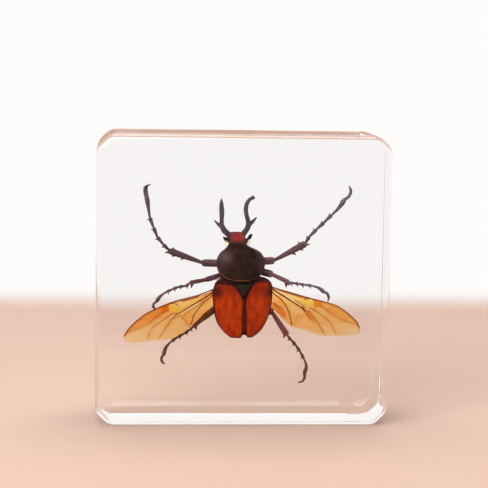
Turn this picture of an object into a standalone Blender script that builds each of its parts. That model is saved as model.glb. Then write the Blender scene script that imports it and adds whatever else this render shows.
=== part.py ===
"""A male antler-horned flower beetle, wings spread, cast in a clear square block of resin.

The block stands on its lower edge face. X runs across it, Y from front to back and Z up, with
the origin at the middle of its foot. The beetle's back faces the front (-Y) and its head points
up. All sizes here are in millimetres; the meshes are written in metres.
"""

from math import copysign, cos, pi, radians, sin

import bmesh
import bpy
from mathutils import Vector

MM = 0.001

# The block. Its edges are rounded more at the front than at the back; a rounding's profile is
# given as shares of its radius, in from the face and in from the side.
BLOCK_WIDTH = 75.5
BLOCK_HEIGHT = 75.0
BLOCK_DEPTH = 22.0
CORNER_RADIUS = 5.5
CORNER_STEPS = 6
FRONT_EDGE_RADIUS = 1.0
BACK_EDGE_RADIUS = 0.4
EDGE_PROFILE = [(0.0, 1.0), (0.3, 0.3), (1.0, 0.0)]
PARTING_Y = 1.2

# Between neighbouring pieces, round a piece that is let into another, and to the pocket's walls.
GAP = 0.3
ROOM = 0.42
CLEARANCE = 0.6

# The pocket round head and trunk: height, middle, half width, reach to the front and to the back.
HOLLOW = [
    (21.4, 0.3, 3.8, 3.2, 1.6),
    (22.6, 0.3, 5.0, 4.0, 2.8),
    (25.0, 0.3, 6.9, 5.2, 4.8),
    (28.0, 0.3, 8.1, 6.0, 6.2),
    (32.0, 0.3, 8.8, 6.1, 6.9),
    (36.6, 0.2, 8.8, 6.0, 6.6),
    (38.4, -0.1, 7.9, 5.9, 6.4),
    (42.0, -0.4, 7.6, 5.8, 5.9),
    (44.6, -0.5, 6.2, 5.2, 4.7),
    (46.6, -1.2, 5.1, 4.0, 3.8),
    (48.8, -1.6, 5.1, 3.2, 2.8),
    (50.6, -1.8, 4.0, 2.6, 2.2),
]
HOLLOW_SIDE_Y = 0.2

# The grooves that the legs lie in: half widths, where they widen on the shin, and how far they
# run past the foot, as shares of the way from knee to heel and from foot to claws.
GROOVE_Y = 1.4
GROOVE_FOOT, GROOVE_CLAW, GROOVE_SPURS = 0.65, 1.2, 1.6
GROOVE_CORNER = 1.3
GROOVE_WIDENS = 0.6
GROOVE_OVERRUN = 1.8

# How full a cross-section is: an ellipse has 1, a box 0.
BACK_FULLNESS = 0.8
BELLY_FULLNESS = 1.25
COVER_FULLNESS = 0.4
CREASE = radians(35)

# Trunk under the wing covers: height, middle, half width, rise of the back, depth of the belly.
TRUNK = [
    (22.9, 0.3, 2.6, 1.1, 1.2),
    (23.8, 0.3, 4.1, 2.0, 2.2),
    (25.3, 0.3, 5.4, 2.9, 3.2),
    (27.3, 0.3, 6.4, 3.5, 3.9),
    (30.0, 0.3, 7.1, 4.0, 4.3),
    (33.0, 0.3, 7.55, 4.1, 4.5),
    (35.2, 0.35, 7.6, 3.8, 4.5),
    (36.4, 0.4, 7.15, 2.7, 4.2),
    (37.4, 0.4, 6.0, 2.0, 3.5),
    (37.9, 0.4, 4.4, 1.4, 2.6),
]
TRUNK_SIDE_Y = 0.6
BELLY_PLATES = 5
BELLY_PLATES_TOP = 30.0
BELLY_STEP = 0.25
SCUTELLUM = [(-1.95, 36.2), (0.35, 32.9), (2.05, 36.2)]
SCUTELLUM_TOP_Y = -4.4
SCUTELLUM_ROOT_Y = -2.4

# Wing covers: height, edge at the seam, outer edge, rise of the back.
COVER_LEFT = [
    (22.1, -0.3, -3.0, 2.2),
    (22.7, 0.1, -3.8, 2.7),
    (24.0, 0.2, -5.1, 3.4),
    (25.6, 0.2, -6.2, 4.0),
    (27.5, 0.2, -6.9, 4.5),
    (29.8, 0.2, -7.3, 4.8),
    (32.0, 0.2, -7.5, 4.9),
    (33.2, -0.25, -7.6, 4.9),
    (34.5, -1.1, -7.5, 4.7),
    (35.6, -2.0, -7.0, 4.4),
    (36.2, -3.1, -5.6, 4.1),
]
COVER_RIGHT = [
    (22.2, 1.5, 3.1, 2.2),
    (22.8, 1.05, 3.9, 2.7),
    (24.0, 0.95, 5.1, 3.4),
    (25.6, 0.9, 6.1, 4.0),
    (27.5, 0.82, 6.9, 4.5),
    (29.8, 0.72, 7.5, 4.8),
    (32.0, 0.68, 7.8, 4.9),
    (33.2, 1.0, 7.8, 4.9),
    (34.5, 1.6, 7.75, 4.7),
    (35.9, 2.4, 7.3, 4.4),
    (36.9, 3.5, 6.2, 4.1),
]
SEAM_X = 0.45
COVER_SIDE_Y = -0.5
COVER_THICKNESS = 0.5
COVER_STEPS = 7

# Pronotum: height, middle, half width, rise of the back, depth of the throat.
PRONOTUM = [
    (36.7, -0.2, 1.6, 3.4, 1.5),
    (37.1, -0.3, 3.2, 3.8, 2.2),
    (37.8, -0.4, 4.6, 4.2, 2.8),
    (38.8, -0.4, 5.55, 4.5, 3.3),
    (40.0, -0.4, 6.0, 4.6, 3.6),
    (41.2, -0.4, 6.2, 4.5, 3.6),
    (42.4, -0.45, 6.1, 4.3, 3.6),
    (43.5, -0.45, 5.6, 3.9, 3.5),
    (44.4, -0.5, 4.9, 3.5, 3.2),
    (45.2, -0.7, 3.8, 3.0, 2.9),
    (45.8, -1.1, 2.85, 2.5, 2.6),
    (46.5, -1.4, 2.25, 2.1, 2.3),
]
PRONOTUM_SIDE_Y = -0.3

# Head: height, middle, half width, rise of the plate, depth of the chin.
HEAD = [
    (45.5, -1.1, 1.5, 0.8, 0.9),
    (46.6, -1.4, 1.7, 1.1, 1.2),
    (47.0, -1.4, 2.15, 1.4, 1.6),
    (47.7, -1.45, 2.2, 1.4, 1.6),
    (48.5, -1.6, 2.0, 1.1, 1.3),
    (49.3, -1.75, 1.75, 0.6, 0.8),
]
HEAD_SIDE_Y = 0.3
NECK_ROWS = 2
EYES = [(-3.75, 47.1), (1.25, 47.15)]
EYE_RADIUS = 0.72

# Horns and their side prongs: x, y, z, radius.
HORN_LEFT = [
    (-2.9, 0.6, 48.0, 0.78),
    (-3.8, 0.3, 48.9, 0.74),
    (-4.9, -0.3, 50.0, 0.74),
    (-5.5, -0.8, 51.4, 0.62),
    (-5.55, -1.1, 52.8, 0.56),
    (-5.55, -1.3, 54.4, 0.66),
    (-5.65, -1.3, 56.2, 0.62),
    (-5.7, -1.2, 57.3, 0.44),
    (-5.7, -1.1, 58.1, 0.12),
]
PRONG_LEFT = [(-5.3, -0.7, 50.6, 0.58), (-6.4, -0.7, 51.5, 0.44), (-7.5, -0.7, 52.5, 0.12)]
HORN_RIGHT = [
    (-0.3, 0.6, 48.2, 0.78),
    (0.4, 0.3, 49.3, 0.74),
    (1.1, -0.3, 50.4, 0.72),
    (1.4, -0.8, 51.6, 0.72),
    (1.15, -1.1, 52.9, 0.58),
    (0.75, -1.3, 54.4, 0.6),
    (0.65, -1.3, 55.8, 0.62),
    (0.95, -1.2, 57.1, 0.56),
    (1.7, -1.1, 58.1, 0.5),
    (2.6, -1.0, 58.45, 0.5),
]
PRONG_RIGHT = [(1.5, -0.8, 51.4, 0.66), (2.5, -0.7, 52.3, 0.5), (3.5, -0.6, 53.4, 0.14)]
FORK_RIGHT = [(2.2, -1.0, 58.4, 0.36), (2.35, -1.0, 59.05, 0.16)]
FEELER_LEFT = [(-3.2, 0.2, 47.6, 0.2), (-4.2, 0.0, 47.5, 0.2), (-5.1, -0.1, 48.1, 0.35)]
FEELER_RIGHT = [(0.7, 0.2, 47.7, 0.2), (1.6, 0.0, 48.0, 0.3), (2.4, -0.1, 48.9, 0.38)]

# Hind wings: outline as x, z, and veins as x, z with one radius each.
WING_Y = -0.1
WING_SLOPE = 0.045
WING_THICKNESS = 0.3
WING_FRONT_Y = -2.5
WING_LEFT = [
    (-7.95, 34.2), (-9.6, 33.4), (-12.1, 32.6), (-16.5, 31.5), (-21.2, 29.9), (-23.8, 28.9),
    (-25.9, 27.5), (-27.8, 26.1), (-29.3, 24.5), (-30.3, 22.7), (-30.6, 21.3), (-30.1, 20.6),
    (-28.7, 20.4), (-23.7, 20.9), (-19.0, 21.2), (-17.0, 21.9), (-14.9, 23.1), (-12.3, 25.6),
    (-9.6, 27.8), (-7.95, 29.3),
]
WING_RIGHT = [
    (8.3, 35.05), (9.9, 34.6), (12.6, 33.9), (17.6, 32.4), (21.8, 31.4), (24.6, 30.5),
    (27.6, 28.8), (29.2, 27.2), (30.5, 25.6), (31.2, 24.2), (31.1, 23.2), (30.1, 22.7),
    (25.4, 22.3), (20.5, 22.4), (16.7, 23.7), (13.0, 24.7), (11.1, 26.7), (9.4, 28.3),
    (8.3, 29.7),
]
VEINS_LEFT = [
    (0.34, [(-8.0, 33.8), (-10.5, 32.8), (-14.0, 31.8), (-18.6, 30.6), (-23.8, 28.7)]),
    (0.26, [(-23.8, 28.7), (-26.5, 26.9), (-28.9, 24.6), (-30.1, 22.2)]),
    (0.26, [(-8.1, 33.0), (-12.0, 31.1), (-16.6, 28.8), (-20.0, 27.2), (-24.0, 24.8)]),
    (0.24, [(-8.1, 32.1), (-11.0, 29.8), (-12.7, 27.8), (-13.3, 25.6)]),
    (0.24, [(-16.6, 28.8), (-18.6, 26.5), (-21.0, 22.2)]),
]
VEINS_RIGHT = [
    (0.34, [(8.45, 34.6), (11.5, 33.8), (17.6, 32.1), (23.5, 30.6)]),
    (0.26, [(23.5, 30.6), (27.4, 28.4), (30.2, 25.3), (30.9, 23.6)]),
    (0.26, [(8.45, 34.05), (12.5, 31.8), (17.2, 29.5), (21.0, 27.2), (24.8, 24.0)]),
    (0.24, [(8.45, 33.0), (10.9, 30.9), (12.2, 28.4), (12.9, 25.4)]),
    (0.24, [(16.8, 29.7), (19.6, 26.4), (22.2, 22.8)]),
]

# Legs: hip and knee as x, y, z; the other joints and the claw points as x, z; a bow in the last
# foot joint; spurs as root and tip; half widths of thigh, knee and heel.
LEGS = {
    "leg_front_left": {
        "hip": (-2.2, 3.5, 40.9),
        "knee": (-10.2, 1.1, 41.3),
        "heel": (-18.7, 44.3),
        "foot": [(-20.4, 45.9), (-22.0, 47.9), (-23.0, 50.3), (-24.0, 52.9), (-24.9, 58.4)],
        "bow": (-24.45, 55.7),
        "claw": [(-25.2, 59.5), (-25.2, 60.7), (-24.2, 61.6)],
        "spurs": [((-18.2, 44.1), (-20.1, 43.9)), ((-17.1, 43.6), (-18.2, 42.8)),
                  ((-14.8, 42.9), (-15.9, 42.0)), ((-17.5, 44.1), (-17.9, 45.2))],
        "half_widths": (0.95, 0.44, 0.85),
    },
    "leg_front_right": {
        "hip": (1.6, 3.5, 41.4),
        "knee": (8.2, 1.1, 42.0),
        "heel": (16.3, 46.4),
        "foot": [(17.3, 48.2), (19.1, 50.1), (21.1, 52.0), (23.1, 54.0), (26.4, 58.1)],
        "bow": (24.95, 55.9),
        "claw": [(27.4, 58.8), (28.0, 60.2), (27.5, 61.6)],
        "spurs": [((15.6, 46.1), (17.6, 46.3)), ((14.7, 45.4), (15.9, 44.7)),
                  ((13.0, 44.2), (14.0, 43.5)), ((15.0, 45.8), (14.6, 47.0))],
        "half_widths": (0.97, 0.4, 0.95),
    },
    "leg_middle_left": {
        "hip": (-2.2, 4.3, 38.8),
        "knee": (-9.3, 1.1, 36.9),
        "heel": (-13.3, 36.1),
        "foot": [(-14.5, 35.2), (-16.0, 35.1), (-17.7, 34.5), (-19.4, 33.7), (-22.1, 31.1)],
        "bow": (-21.0, 32.6),
        "claw": [(-22.8, 30.5), (-22.9, 29.7), (-22.2, 28.9)],
        "spurs": [((-12.9, 36.0), (-13.1, 34.7))],
        "half_widths": (0.66, 0.46, 0.56),
    },
    "leg_middle_right": {
        "hip": (2.2, 4.3, 39.6),
        "knee": (7.8, 1.1, 38.4),
        "heel": (12.1, 36.4),
        "foot": [(13.2, 36.1), (14.7, 36.0), (16.2, 35.7), (18.1, 35.5), (21.5, 33.8)],
        "bow": (20.1, 34.9),
        "claw": [(22.3, 33.5), (22.8, 32.4), (22.6, 31.3)],
        "spurs": [((11.6, 36.4), (11.6, 34.9)), ((12.0, 36.2), (12.5, 35.5))],
        "half_widths": (0.95, 0.5, 0.62),
    },
    "leg_hind_left": {
        "hip": (-2.6, 4.9, 32.3),
        "knee": (-9.8, 1.1, 26.9),
        "heel": (-12.4, 24.6),
        "foot": [(-13.2, 23.9), (-14.5, 22.9), (-16.3, 21.9), (-17.9, 20.9), (-20.1, 17.1)],
        "bow": (-19.5, 19.1),
        "claw": [(-20.6, 16.4), (-20.5, 15.3), (-19.8, 14.7)],
        "spurs": [((-12.0, 24.8), (-11.6, 23.7))],
        "half_widths": (0.98, 0.8, 0.56),
    },
    "leg_hind_right": {
        "hip": (2.9, 4.9, 31.2),
        "knee": (8.1, 2.5, 28.3),
        "heel": (12.0, 22.5),
        "foot": [(12.9, 21.4), (14.2, 20.0), (15.4, 18.3), (16.5, 16.4), (16.8, 12.3)],
        "bow": (17.3, 14.2),
        "claw": [(16.9, 11.3), (16.4, 10.2), (15.3, 9.9)],
        "spurs": [((11.6, 22.8), (11.1, 21.5))],
        "half_widths": (1.0, 0.5, 0.78),
    },
}
HEEL_Y = 1.3
FOOT_Y = 1.2
LEG_SIDES = 6

# Leg shape: share of the way along, then share of the width or the half width itself.
THIGH_SHAPE = [(0.0, 0.7), (0.2, 1.0), (0.9, 1.0), (1.02, 0.8)]
SHIN_SHAPE = [(0.07, 0.0), (0.5, 0.55), (0.93, 1.0), (1.0, 0.5)]
TOE_SHAPE = [(0.14, 0.28), (0.84, 0.5), (1.0, 0.4)]
LAST_TOE_WIDTHS = [0.28, 0.38, 0.58, 0.45]
CLAW_WIDTHS = [0.28, 0.3, 0.24, 0.08]
CLAW_SPREAD = [0.0, 0.2, 0.38, 0.38]
SPUR_WIDTHS = [0.36, 0.06]

# Finishes: colour, roughness, opacity.
FINISHES = {
    "clear_resin": ((0.93, 0.95, 0.95), 0.02, 0.25),
    "red_brown_head": ((0.16, 0.035, 0.03), 0.35, 1.0),
    "dark_shell": ((0.022, 0.014, 0.013), 0.3, 1.0),
    "wing_cover": ((0.36, 0.06, 0.015), 0.28, 1.0),
    "wing_membrane": ((0.72, 0.31, 0.07), 0.3, 0.8),
    "leg_shell": ((0.055, 0.022, 0.024), 0.35, 1.0),
}


def between(table, height, column):
    """The value of a column at a height, on straight lines between the table's rows."""
    if height <= table[0][0]:
        return table[0][column]
    for low, high in zip(table, table[1:]):
        if height <= high[0]:
            share = (height - low[0]) / (high[0] - low[0])
            return low[column] + share * (high[column] - low[column])
    return table[-1][column]


def loft(name, rings):
    """A closed body through rings of equally many points, with both ends filled."""
    mesh = bmesh.new()
    loops = [[mesh.verts.new(Vector(point) * MM) for point in ring] for ring in rings]
    for lower, upper in zip(loops, loops[1:]):
        for i, corner in enumerate(lower):
            j = (i + 1) % len(lower)
            mesh.faces.new((corner, lower[j], upper[j], upper[i]))
    mesh.faces.new(loops[0])
    mesh.faces.new(loops[-1])
    bmesh.ops.recalc_face_normals(mesh, faces=mesh.faces)
    data = bpy.data.meshes.new(name)
    mesh.to_mesh(data)
    mesh.free()
    body = bpy.data.objects.new(name, data)
    bpy.context.scene.collection.objects.link(body)
    return body


def direction(places, i):
    """The way that a route runs at its point i."""
    return places[min(i + 1, len(places) - 1)] - places[max(i - 1, 0)]


def smooth(spine, steps):
    """A spine of x, y, z and radius with points added on a smooth curve through its own."""
    last = len(spine) - 1
    points = [Vector(point) for point in spine]
    curve = []
    for i in range(last):
        a, b, c, d = (points[min(max(i + step, 0), last)] for step in (-1, 0, 1, 2))
        for k in range(steps):
            t = k / steps
            pull = (c - a) * t + (2 * a - 5 * b + 4 * c - d) * t * t
            pull += (3 * b - a - 3 * c + d) * t ** 3
            curve.append(tuple(b + pull / 2))
    return curve + [spine[-1]]


def tube(name, spine, sides, turn=0.0):
    """A tapering rod along points of x, y, z and radius."""
    places = [Vector(point[:3]) for point in spine]
    rings = []
    for i, place in enumerate(places):
        along = direction(places, i)
        across = along.cross(Vector((0, 1, 0))).normalized()
        up = across.cross(along).normalized()
        angles = [turn + 2 * pi * k / sides for k in range(sides)]
        rings.append([place + spine[i][3] * (cos(a) * across + sin(a) * up) for a in angles])
    return loft(name, rings)


def ball(name, x, y, z, radius, sides=8):
    """A faceted ball with its poles to the front and back."""
    rings = []
    for step in (-0.92, -0.5, 0.0, 0.5, 0.92):
        reach = radius * (1 - step * step) ** 0.5
        angles = [2 * pi * k / sides for k in range(sides)]
        rings.append([(x + reach * cos(a), y + step * radius, z + reach * sin(a)) for a in angles])
    return loft(name, rings)


def slab(name, outline, front_y, back_y, slope=0.0):
    """A flat plate with an outline of x, z between two depths, its front sloped sideways."""
    rings = [[(x, y - slope * abs(x), z) for x, z in outline] for y in (front_y, back_y)]
    return loft(name, rings)


def change(body, operation, tools):
    """Join or cut a body with tool bodies, which are used up."""
    for tool in tools:
        step = body.modifiers.new(operation.lower(), "BOOLEAN")
        step.operation = operation
        step.solver = "EXACT"
        step.object = tool
        bpy.context.view_layer.update()
        graph = bpy.context.evaluated_depsgraph_get()
        data = bpy.data.meshes.new_from_object(body.evaluated_get(graph))
        body.modifiers.clear()
        body.data = data
        bpy.data.objects.remove(tool)
    return body


def material_of(finish_name):
    """The finish's material, made the first time it is asked for."""
    material = bpy.data.materials.get(finish_name)
    if material is None:
        colour, roughness, opacity = FINISHES[finish_name]
        material = bpy.data.materials.new(finish_name)
        material.use_nodes = True
        shader = material.node_tree.nodes["Principled BSDF"]
        shader.inputs["Base Color"].default_value = (*colour, 1.0)
        shader.inputs["Roughness"].default_value = roughness
        shader.inputs["Metallic"].default_value = 0.0
        shader.inputs["Alpha"].default_value = opacity
    return material


def finish(body, finish_name):
    """Give a body its material and smooth shading with crisp edges."""
    body.data.materials.clear()
    body.data.materials.append(material_of(finish_name))
    body.data.shade_smooth()
    body.data.set_sharp_from_angle(angle=CREASE)
    return body


def shell_ring(height, middle, half_width, rise, depth, side_y, sides=16, grow=0.0):
    """One cross-section of the beetle: a full domed back and a keeled underside."""
    ring = []
    for k in range(sides):
        side, lift = cos(2 * pi * k / sides), sin(2 * pi * k / sides)
        fullness = BACK_FULLNESS if lift > 0 else BELLY_FULLNESS
        reach = (rise if lift > 0 else depth) + grow
        x = middle + copysign((half_width + grow) * abs(side) ** fullness, side)
        y = side_y - copysign(reach * abs(lift) ** fullness, lift)
        ring.append((x, y, height))
    return ring


def shell_body(name, rows, side_y, grow=0.0, sides=16):
    """A body lofted through rows of cross-sections, grown on all sides if asked."""
    rings = [shell_ring(*row, side_y, sides, grow) for row in rows]
    if grow:
        first = shell_ring(rows[0][0] - grow, *rows[0][1:], side_y, sides)
        last = shell_ring(rows[-1][0] + grow, *rows[-1][1:], side_y, sides)
        rings = [first] + rings + [last]
    return loft(name, rings)


def leg_spine(leg, grow=0.0):
    """The leg's middle line and radius: thigh, shin and five toe joints."""
    thigh, narrow, wide = leg["half_widths"]
    hip, knee = Vector(leg["hip"]), Vector(leg["knee"])
    start = Vector((leg["heel"][0], HEEL_Y, leg["heel"][1]))
    spine = [(hip.lerp(knee, share), thigh * part) for share, part in THIGH_SHAPE]
    for share, part in SHIN_SHAPE:
        spine.append((knee.lerp(start, share), narrow + (wide - narrow) * part))
    joints = [Vector((x, FOOT_Y, z)) for x, z in leg["foot"]]
    for end in joints[:-1]:
        spine += [(start.lerp(end, share), radius) for share, radius in TOE_SHAPE]
        start = end
    end, bow = joints[-1], Vector((leg["bow"][0], FOOT_Y, leg["bow"][1]))
    stops = (start.lerp(bow, 0.25), bow, bow.lerp(end, 0.7), end)
    spine += zip(stops, LAST_TOE_WIDTHS)
    return [(*place, radius + grow) for place, radius in spine]


def claws(leg):
    """The pair of hooked claws at the end of a foot, side by side in depth."""
    route = [leg["foot"][-1]] + leg["claw"]
    pair = []
    for side in (-1, 1):
        spine = [(x, FOOT_Y + side * spread, z, width)
                 for (x, z), spread, width in zip(route, CLAW_SPREAD, CLAW_WIDTHS)]
        pair.append(tube("claw", spine, 5))
    return pair


def spurs(leg):
    """The teeth and spurs at the end of the shin."""
    cones = []
    for route in leg["spurs"]:
        spine = [(x, HEEL_Y, z, width) for (x, z), width in zip(route, SPUR_WIDTHS)]
        cones.append(tube("spur", spine, 5))
    return cones


def make_leg(name, leg):
    """A whole leg as one body."""
    body = tube(name, leg_spine(leg), LEG_SIDES)
    change(body, "UNION", claws(leg) + spurs(leg))
    return finish(body, "leg_shell")


def leg_sleeves(rows):
    """Plain rods round the thighs of some rows, which leave a gap where they meet the trunk."""
    sleeves = []
    for name, leg in LEGS.items():
        if any(row in name for row in rows):
            spine = leg_spine(leg, GAP)[:len(THIGH_SHAPE)]
            hip, onward = Vector(spine[0]), Vector(spine[1])
            beyond = hip + (hip - onward).normalized() * GAP
            sleeves.append(tube("sleeve", [tuple(beyond)] + spine, 8))
    return sleeves


def leg_groove(leg):
    """The channel that a leg lies in, wide enough for its spurs and claws."""
    thigh, knee = leg["half_widths"][0], leg["knee"]
    heel, toe = Vector(leg["heel"]), Vector(leg["foot"][-1])
    hook = sum((Vector(point) for point in leg["claw"]), Vector((0, 0))) / len(leg["claw"])
    widening = Vector((knee[0], knee[2])).lerp(heel, GROOVE_WIDENS)
    stops = [(widening, GROOVE_SPURS), (heel, GROOVE_SPURS)]
    stops += [(point, GROOVE_FOOT) for point in leg["foot"][1:-1] + [leg["bow"], toe]]
    stops += [(hook, GROOVE_CLAW), (toe.lerp(hook, GROOVE_OVERRUN), GROOVE_CLAW)]
    stops = [((x, GROOVE_Y, z), width) for (x, z), width in stops]
    stops = [(leg["hip"], thigh), (knee, thigh)] + stops
    spine = [(*place, (width + CLEARANCE) * GROOVE_CORNER) for place, width in stops]
    return tube("groove", spine, 4, turn=pi / 4)


def trunk_rows():
    """The trunk's cross-sections, with the abdomen's belly stepped into overlapping plates."""
    foot = TRUNK[0][0]
    rows = [row for row in TRUNK if row[0] >= BELLY_PLATES_TOP or row[0] == foot]
    rise = (BELLY_PLATES_TOP - foot) / BELLY_PLATES
    for i in range(1, BELLY_PLATES):
        seam = foot + i * rise
        middle, width, back, belly = (between(TRUNK, seam, column) for column in (1, 2, 3, 4))
        rows.append((seam - BELLY_STEP / 2, middle, width, back, belly - BELLY_STEP / 2))
        rows.append((seam + BELLY_STEP / 2, middle, width, back, belly + BELLY_STEP / 2))
    return sorted(rows)


def make_trunk():
    """Thorax and abdomen under the wing covers, with the triangular scutellum."""
    trunk = shell_body("thorax_and_abdomen", trunk_rows(), TRUNK_SIDE_Y, sides=20)
    plate = slab("scutellum", SCUTELLUM, SCUTELLUM_TOP_Y, SCUTELLUM_ROOT_Y)
    change(trunk, "UNION", [plate])
    lowered = [(row[0] - GAP, *row[1:]) for row in PRONOTUM]
    shield = shell_body("shield", lowered, PRONOTUM_SIDE_Y, grow=GAP)
    rooms = [cover_room(table, lift) for table in (COVER_LEFT, COVER_RIGHT) for lift in (0.0, GAP)]
    change(trunk, "DIFFERENCE", leg_sleeves(("middle", "hind")) + [shield] + rooms)
    return finish(trunk, "dark_shell")


def make_pronotum():
    """The domed shield behind the head, with room for the neck and the front thighs."""
    shield = shell_body("pronotum", PRONOTUM, PRONOTUM_SIDE_Y)
    neck = shell_body("neck", HEAD[:NECK_ROWS], HEAD_SIDE_Y, grow=ROOM, sides=12)
    eyes = [ball("eye", x, HEAD_SIDE_Y, z, EYE_RADIUS + GAP) for x, z in EYES]
    change(shield, "DIFFERENCE", eyes + [neck] + leg_sleeves(("front", "middle")))
    return finish(shield, "dark_shell")


def cover_ring(row, grow=0.0):
    """One cross-section of a wing cover: a thin arched strip from seam to outer edge."""
    height, seam, edge, rise = row
    out = copysign(1, edge - SEAM_X)
    reach = edge + out * grow - SEAM_X
    start = max(0.0, (seam - out * grow - SEAM_X) / reach)
    narrowing = 1.0 - (COVER_THICKNESS + 2 * grow) / abs(reach)
    side_y = COVER_SIDE_Y + grow / 2
    outer, inner = [], []
    for k in range(COVER_STEPS + 1):
        share = start + (1.0 - start) * sin(pi / 2 * k / COVER_STEPS)
        lift = max(0.0, 1.0 - share ** (1 / COVER_FULLNESS)) ** COVER_FULLNESS
        under = max(share * narrowing, start)
        outer.append((SEAM_X + share * reach, side_y - (rise + 2 * grow) * lift, height))
        inner_y = side_y - (rise - COVER_THICKNESS - grow / 2) * lift
        inner.append((SEAM_X + under * reach, inner_y, height))
    return outer + inner[::-1]


def make_cover(name, table):
    """One wing cover."""
    return finish(loft(name, [cover_ring(row) for row in table]), "wing_cover")


def cover_room(table, lift):
    """The room that a wing cover takes out of the trunk, moved up by a lift."""
    low = (table[0][0] - GAP, *table[0][1:])
    high = (table[-1][0] + GAP, *table[-1][1:])
    rows = [(row[0] + lift, *row[1:]) for row in [low] + table + [high]]
    return loft("room", [cover_ring(row, ROOM) for row in rows])


def make_wing(name, outline, veins):
    """One flight wing: a thin sheet stiffened by raised veins."""
    half = WING_THICKNESS / 2
    wing = slab(name, outline, WING_Y - half, WING_Y + half, WING_SLOPE)
    rods = []
    for radius, route in veins:
        spine = [(x, WING_Y - WING_SLOPE * abs(x), z, radius) for x, z in route]
        rods.append(tube("vein", spine, 4))
    change(wing, "UNION", rods)
    return finish(wing, "wing_membrane")


def make_head():
    """Head, eyes, feelers and the two branched horns, grown as one."""
    head = shell_body("head", HEAD, HEAD_SIDE_Y, sides=12)
    growths = [ball("eye", x, HEAD_SIDE_Y, z, EYE_RADIUS) for x, z in EYES]
    for spine in (HORN_LEFT, HORN_RIGHT):
        growths.append(tube("horn", smooth(spine, 2), 8))
    for spine in (PRONG_LEFT, PRONG_RIGHT, FORK_RIGHT, FEELER_LEFT, FEELER_RIGHT):
        growths.append(tube("prong", spine, 6))
    change(head, "UNION", growths)
    return finish(head, "red_brown_head")


def block_outline(inset):
    """The block's rounded square as x, z, drawn in by an inset."""
    half_width = BLOCK_WIDTH / 2 - CORNER_RADIUS
    half_height = BLOCK_HEIGHT / 2 - CORNER_RADIUS
    radius = CORNER_RADIUS - inset
    points = []
    for quarter, (side, end) in enumerate(((1, 1), (-1, 1), (-1, -1), (1, -1))):
        for k in range(CORNER_STEPS + 1):
            angle = pi / 2 * (quarter + k / CORNER_STEPS)
            x = side * half_width + radius * cos(angle)
            points.append((x, BLOCK_HEIGHT / 2 + end * half_height + radius * sin(angle)))
    return points


def block_half(name, face_y, parting_y):
    """One half of the block, with its outer edge rounded."""
    inward = copysign(1, parting_y - face_y)
    radius = FRONT_EDGE_RADIUS if inward > 0 else BACK_EDGE_RADIUS
    stops = [(face_y + inward * radius * depth, radius * inset) for depth, inset in EDGE_PROFILE]
    rings = [[(x, y, z) for x, z in block_outline(inset)] for y, inset in stops]
    rings.append([(x, parting_y, z) for x, z in block_outline(0.0)])
    return loft(name, rings)


def grown(outline, distance):
    """An outline that runs clockwise or not, pushed outwards by a distance."""
    middle = sum((Vector(point) for point in outline), Vector((0, 0))) / len(outline)
    points = []
    for i, point in enumerate(outline):
        place = Vector(point)
        along = (Vector(outline[(i + 1) % len(outline)]) - Vector(outline[i - 1])).normalized()
        outward = Vector((along.y, -along.x))
        if outward.dot(place - middle) < 0:
            outward = -outward
        points.append(tuple(place + distance * outward))
    return points


def horn_slot(spine):
    """A slot round a horn or prong, open to the parting plane."""
    front_y = min(point[1] - point[3] for point in spine) - CLEARANCE
    places = [Vector((x, z)) for x, _, z, _ in spine]
    places[-1] += direction(places, len(places) - 1).normalized() * CLEARANCE
    rings = []
    for i, place in enumerate(places):
        along = direction(places, i).normalized()
        across = Vector((along.y, -along.x)) * (spine[i][3] + CLEARANCE)
        left, right = place - across, place + across
        rings.append([(right.x, PARTING_Y, right.y), (left.x, PARTING_Y, left.y),
                      (left.x, front_y, left.y), (right.x, front_y, right.y)])
    return loft("slot", rings)


def pocket(front):
    """The cutter of one half's pocket: trunk and legs in both, wings and horns in front."""
    rooms = [leg_groove(leg) for leg in LEGS.values()]
    if front:
        for outline in (WING_LEFT, WING_RIGHT):
            rooms.append(slab("recess", grown(outline, CLEARANCE), WING_FRONT_Y, PARTING_Y))
        for spine in (HORN_LEFT, HORN_RIGHT, PRONG_LEFT, PRONG_RIGHT):
            rooms.append(horn_slot(spine))
    return change(shell_body("hollow", HOLLOW, HOLLOW_SIDE_Y), "UNION", rooms)


def make_block_half(name, face_y, parting_y):
    """One half of the clear block, hollowed for the beetle."""
    half = block_half(name, face_y, parting_y)
    change(half, "DIFFERENCE", [pocket(face_y < 0)])
    return finish(half, "clear_resin")


for old in list(bpy.data.objects):
    bpy.data.objects.remove(old)

pieces = [
    make_block_half("resin_front", -BLOCK_DEPTH / 2, PARTING_Y - GAP / 2),
    make_block_half("resin_back", BLOCK_DEPTH / 2, PARTING_Y + GAP / 2),
    make_head(),
    make_pronotum(),
    make_trunk(),
    make_cover("elytron_left", COVER_LEFT),
    make_cover("elytron_right", COVER_RIGHT),
    make_wing("hind_wing_left", WING_LEFT, VEINS_LEFT),
    make_wing("hind_wing_right", WING_RIGHT, VEINS_RIGHT),
]
pieces += [make_leg(name, leg) for name, leg in LEGS.items()]

whole = bpy.data.objects.new("insect_in_resin_block", None)
bpy.context.scene.collection.objects.link(whole)
for piece in pieces:
    piece.parent = whole
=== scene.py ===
from math import cos, pi, radians, sin, tan

import bmesh
import bpy
import numpy as np
from mathutils import Matrix, Vector


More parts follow.
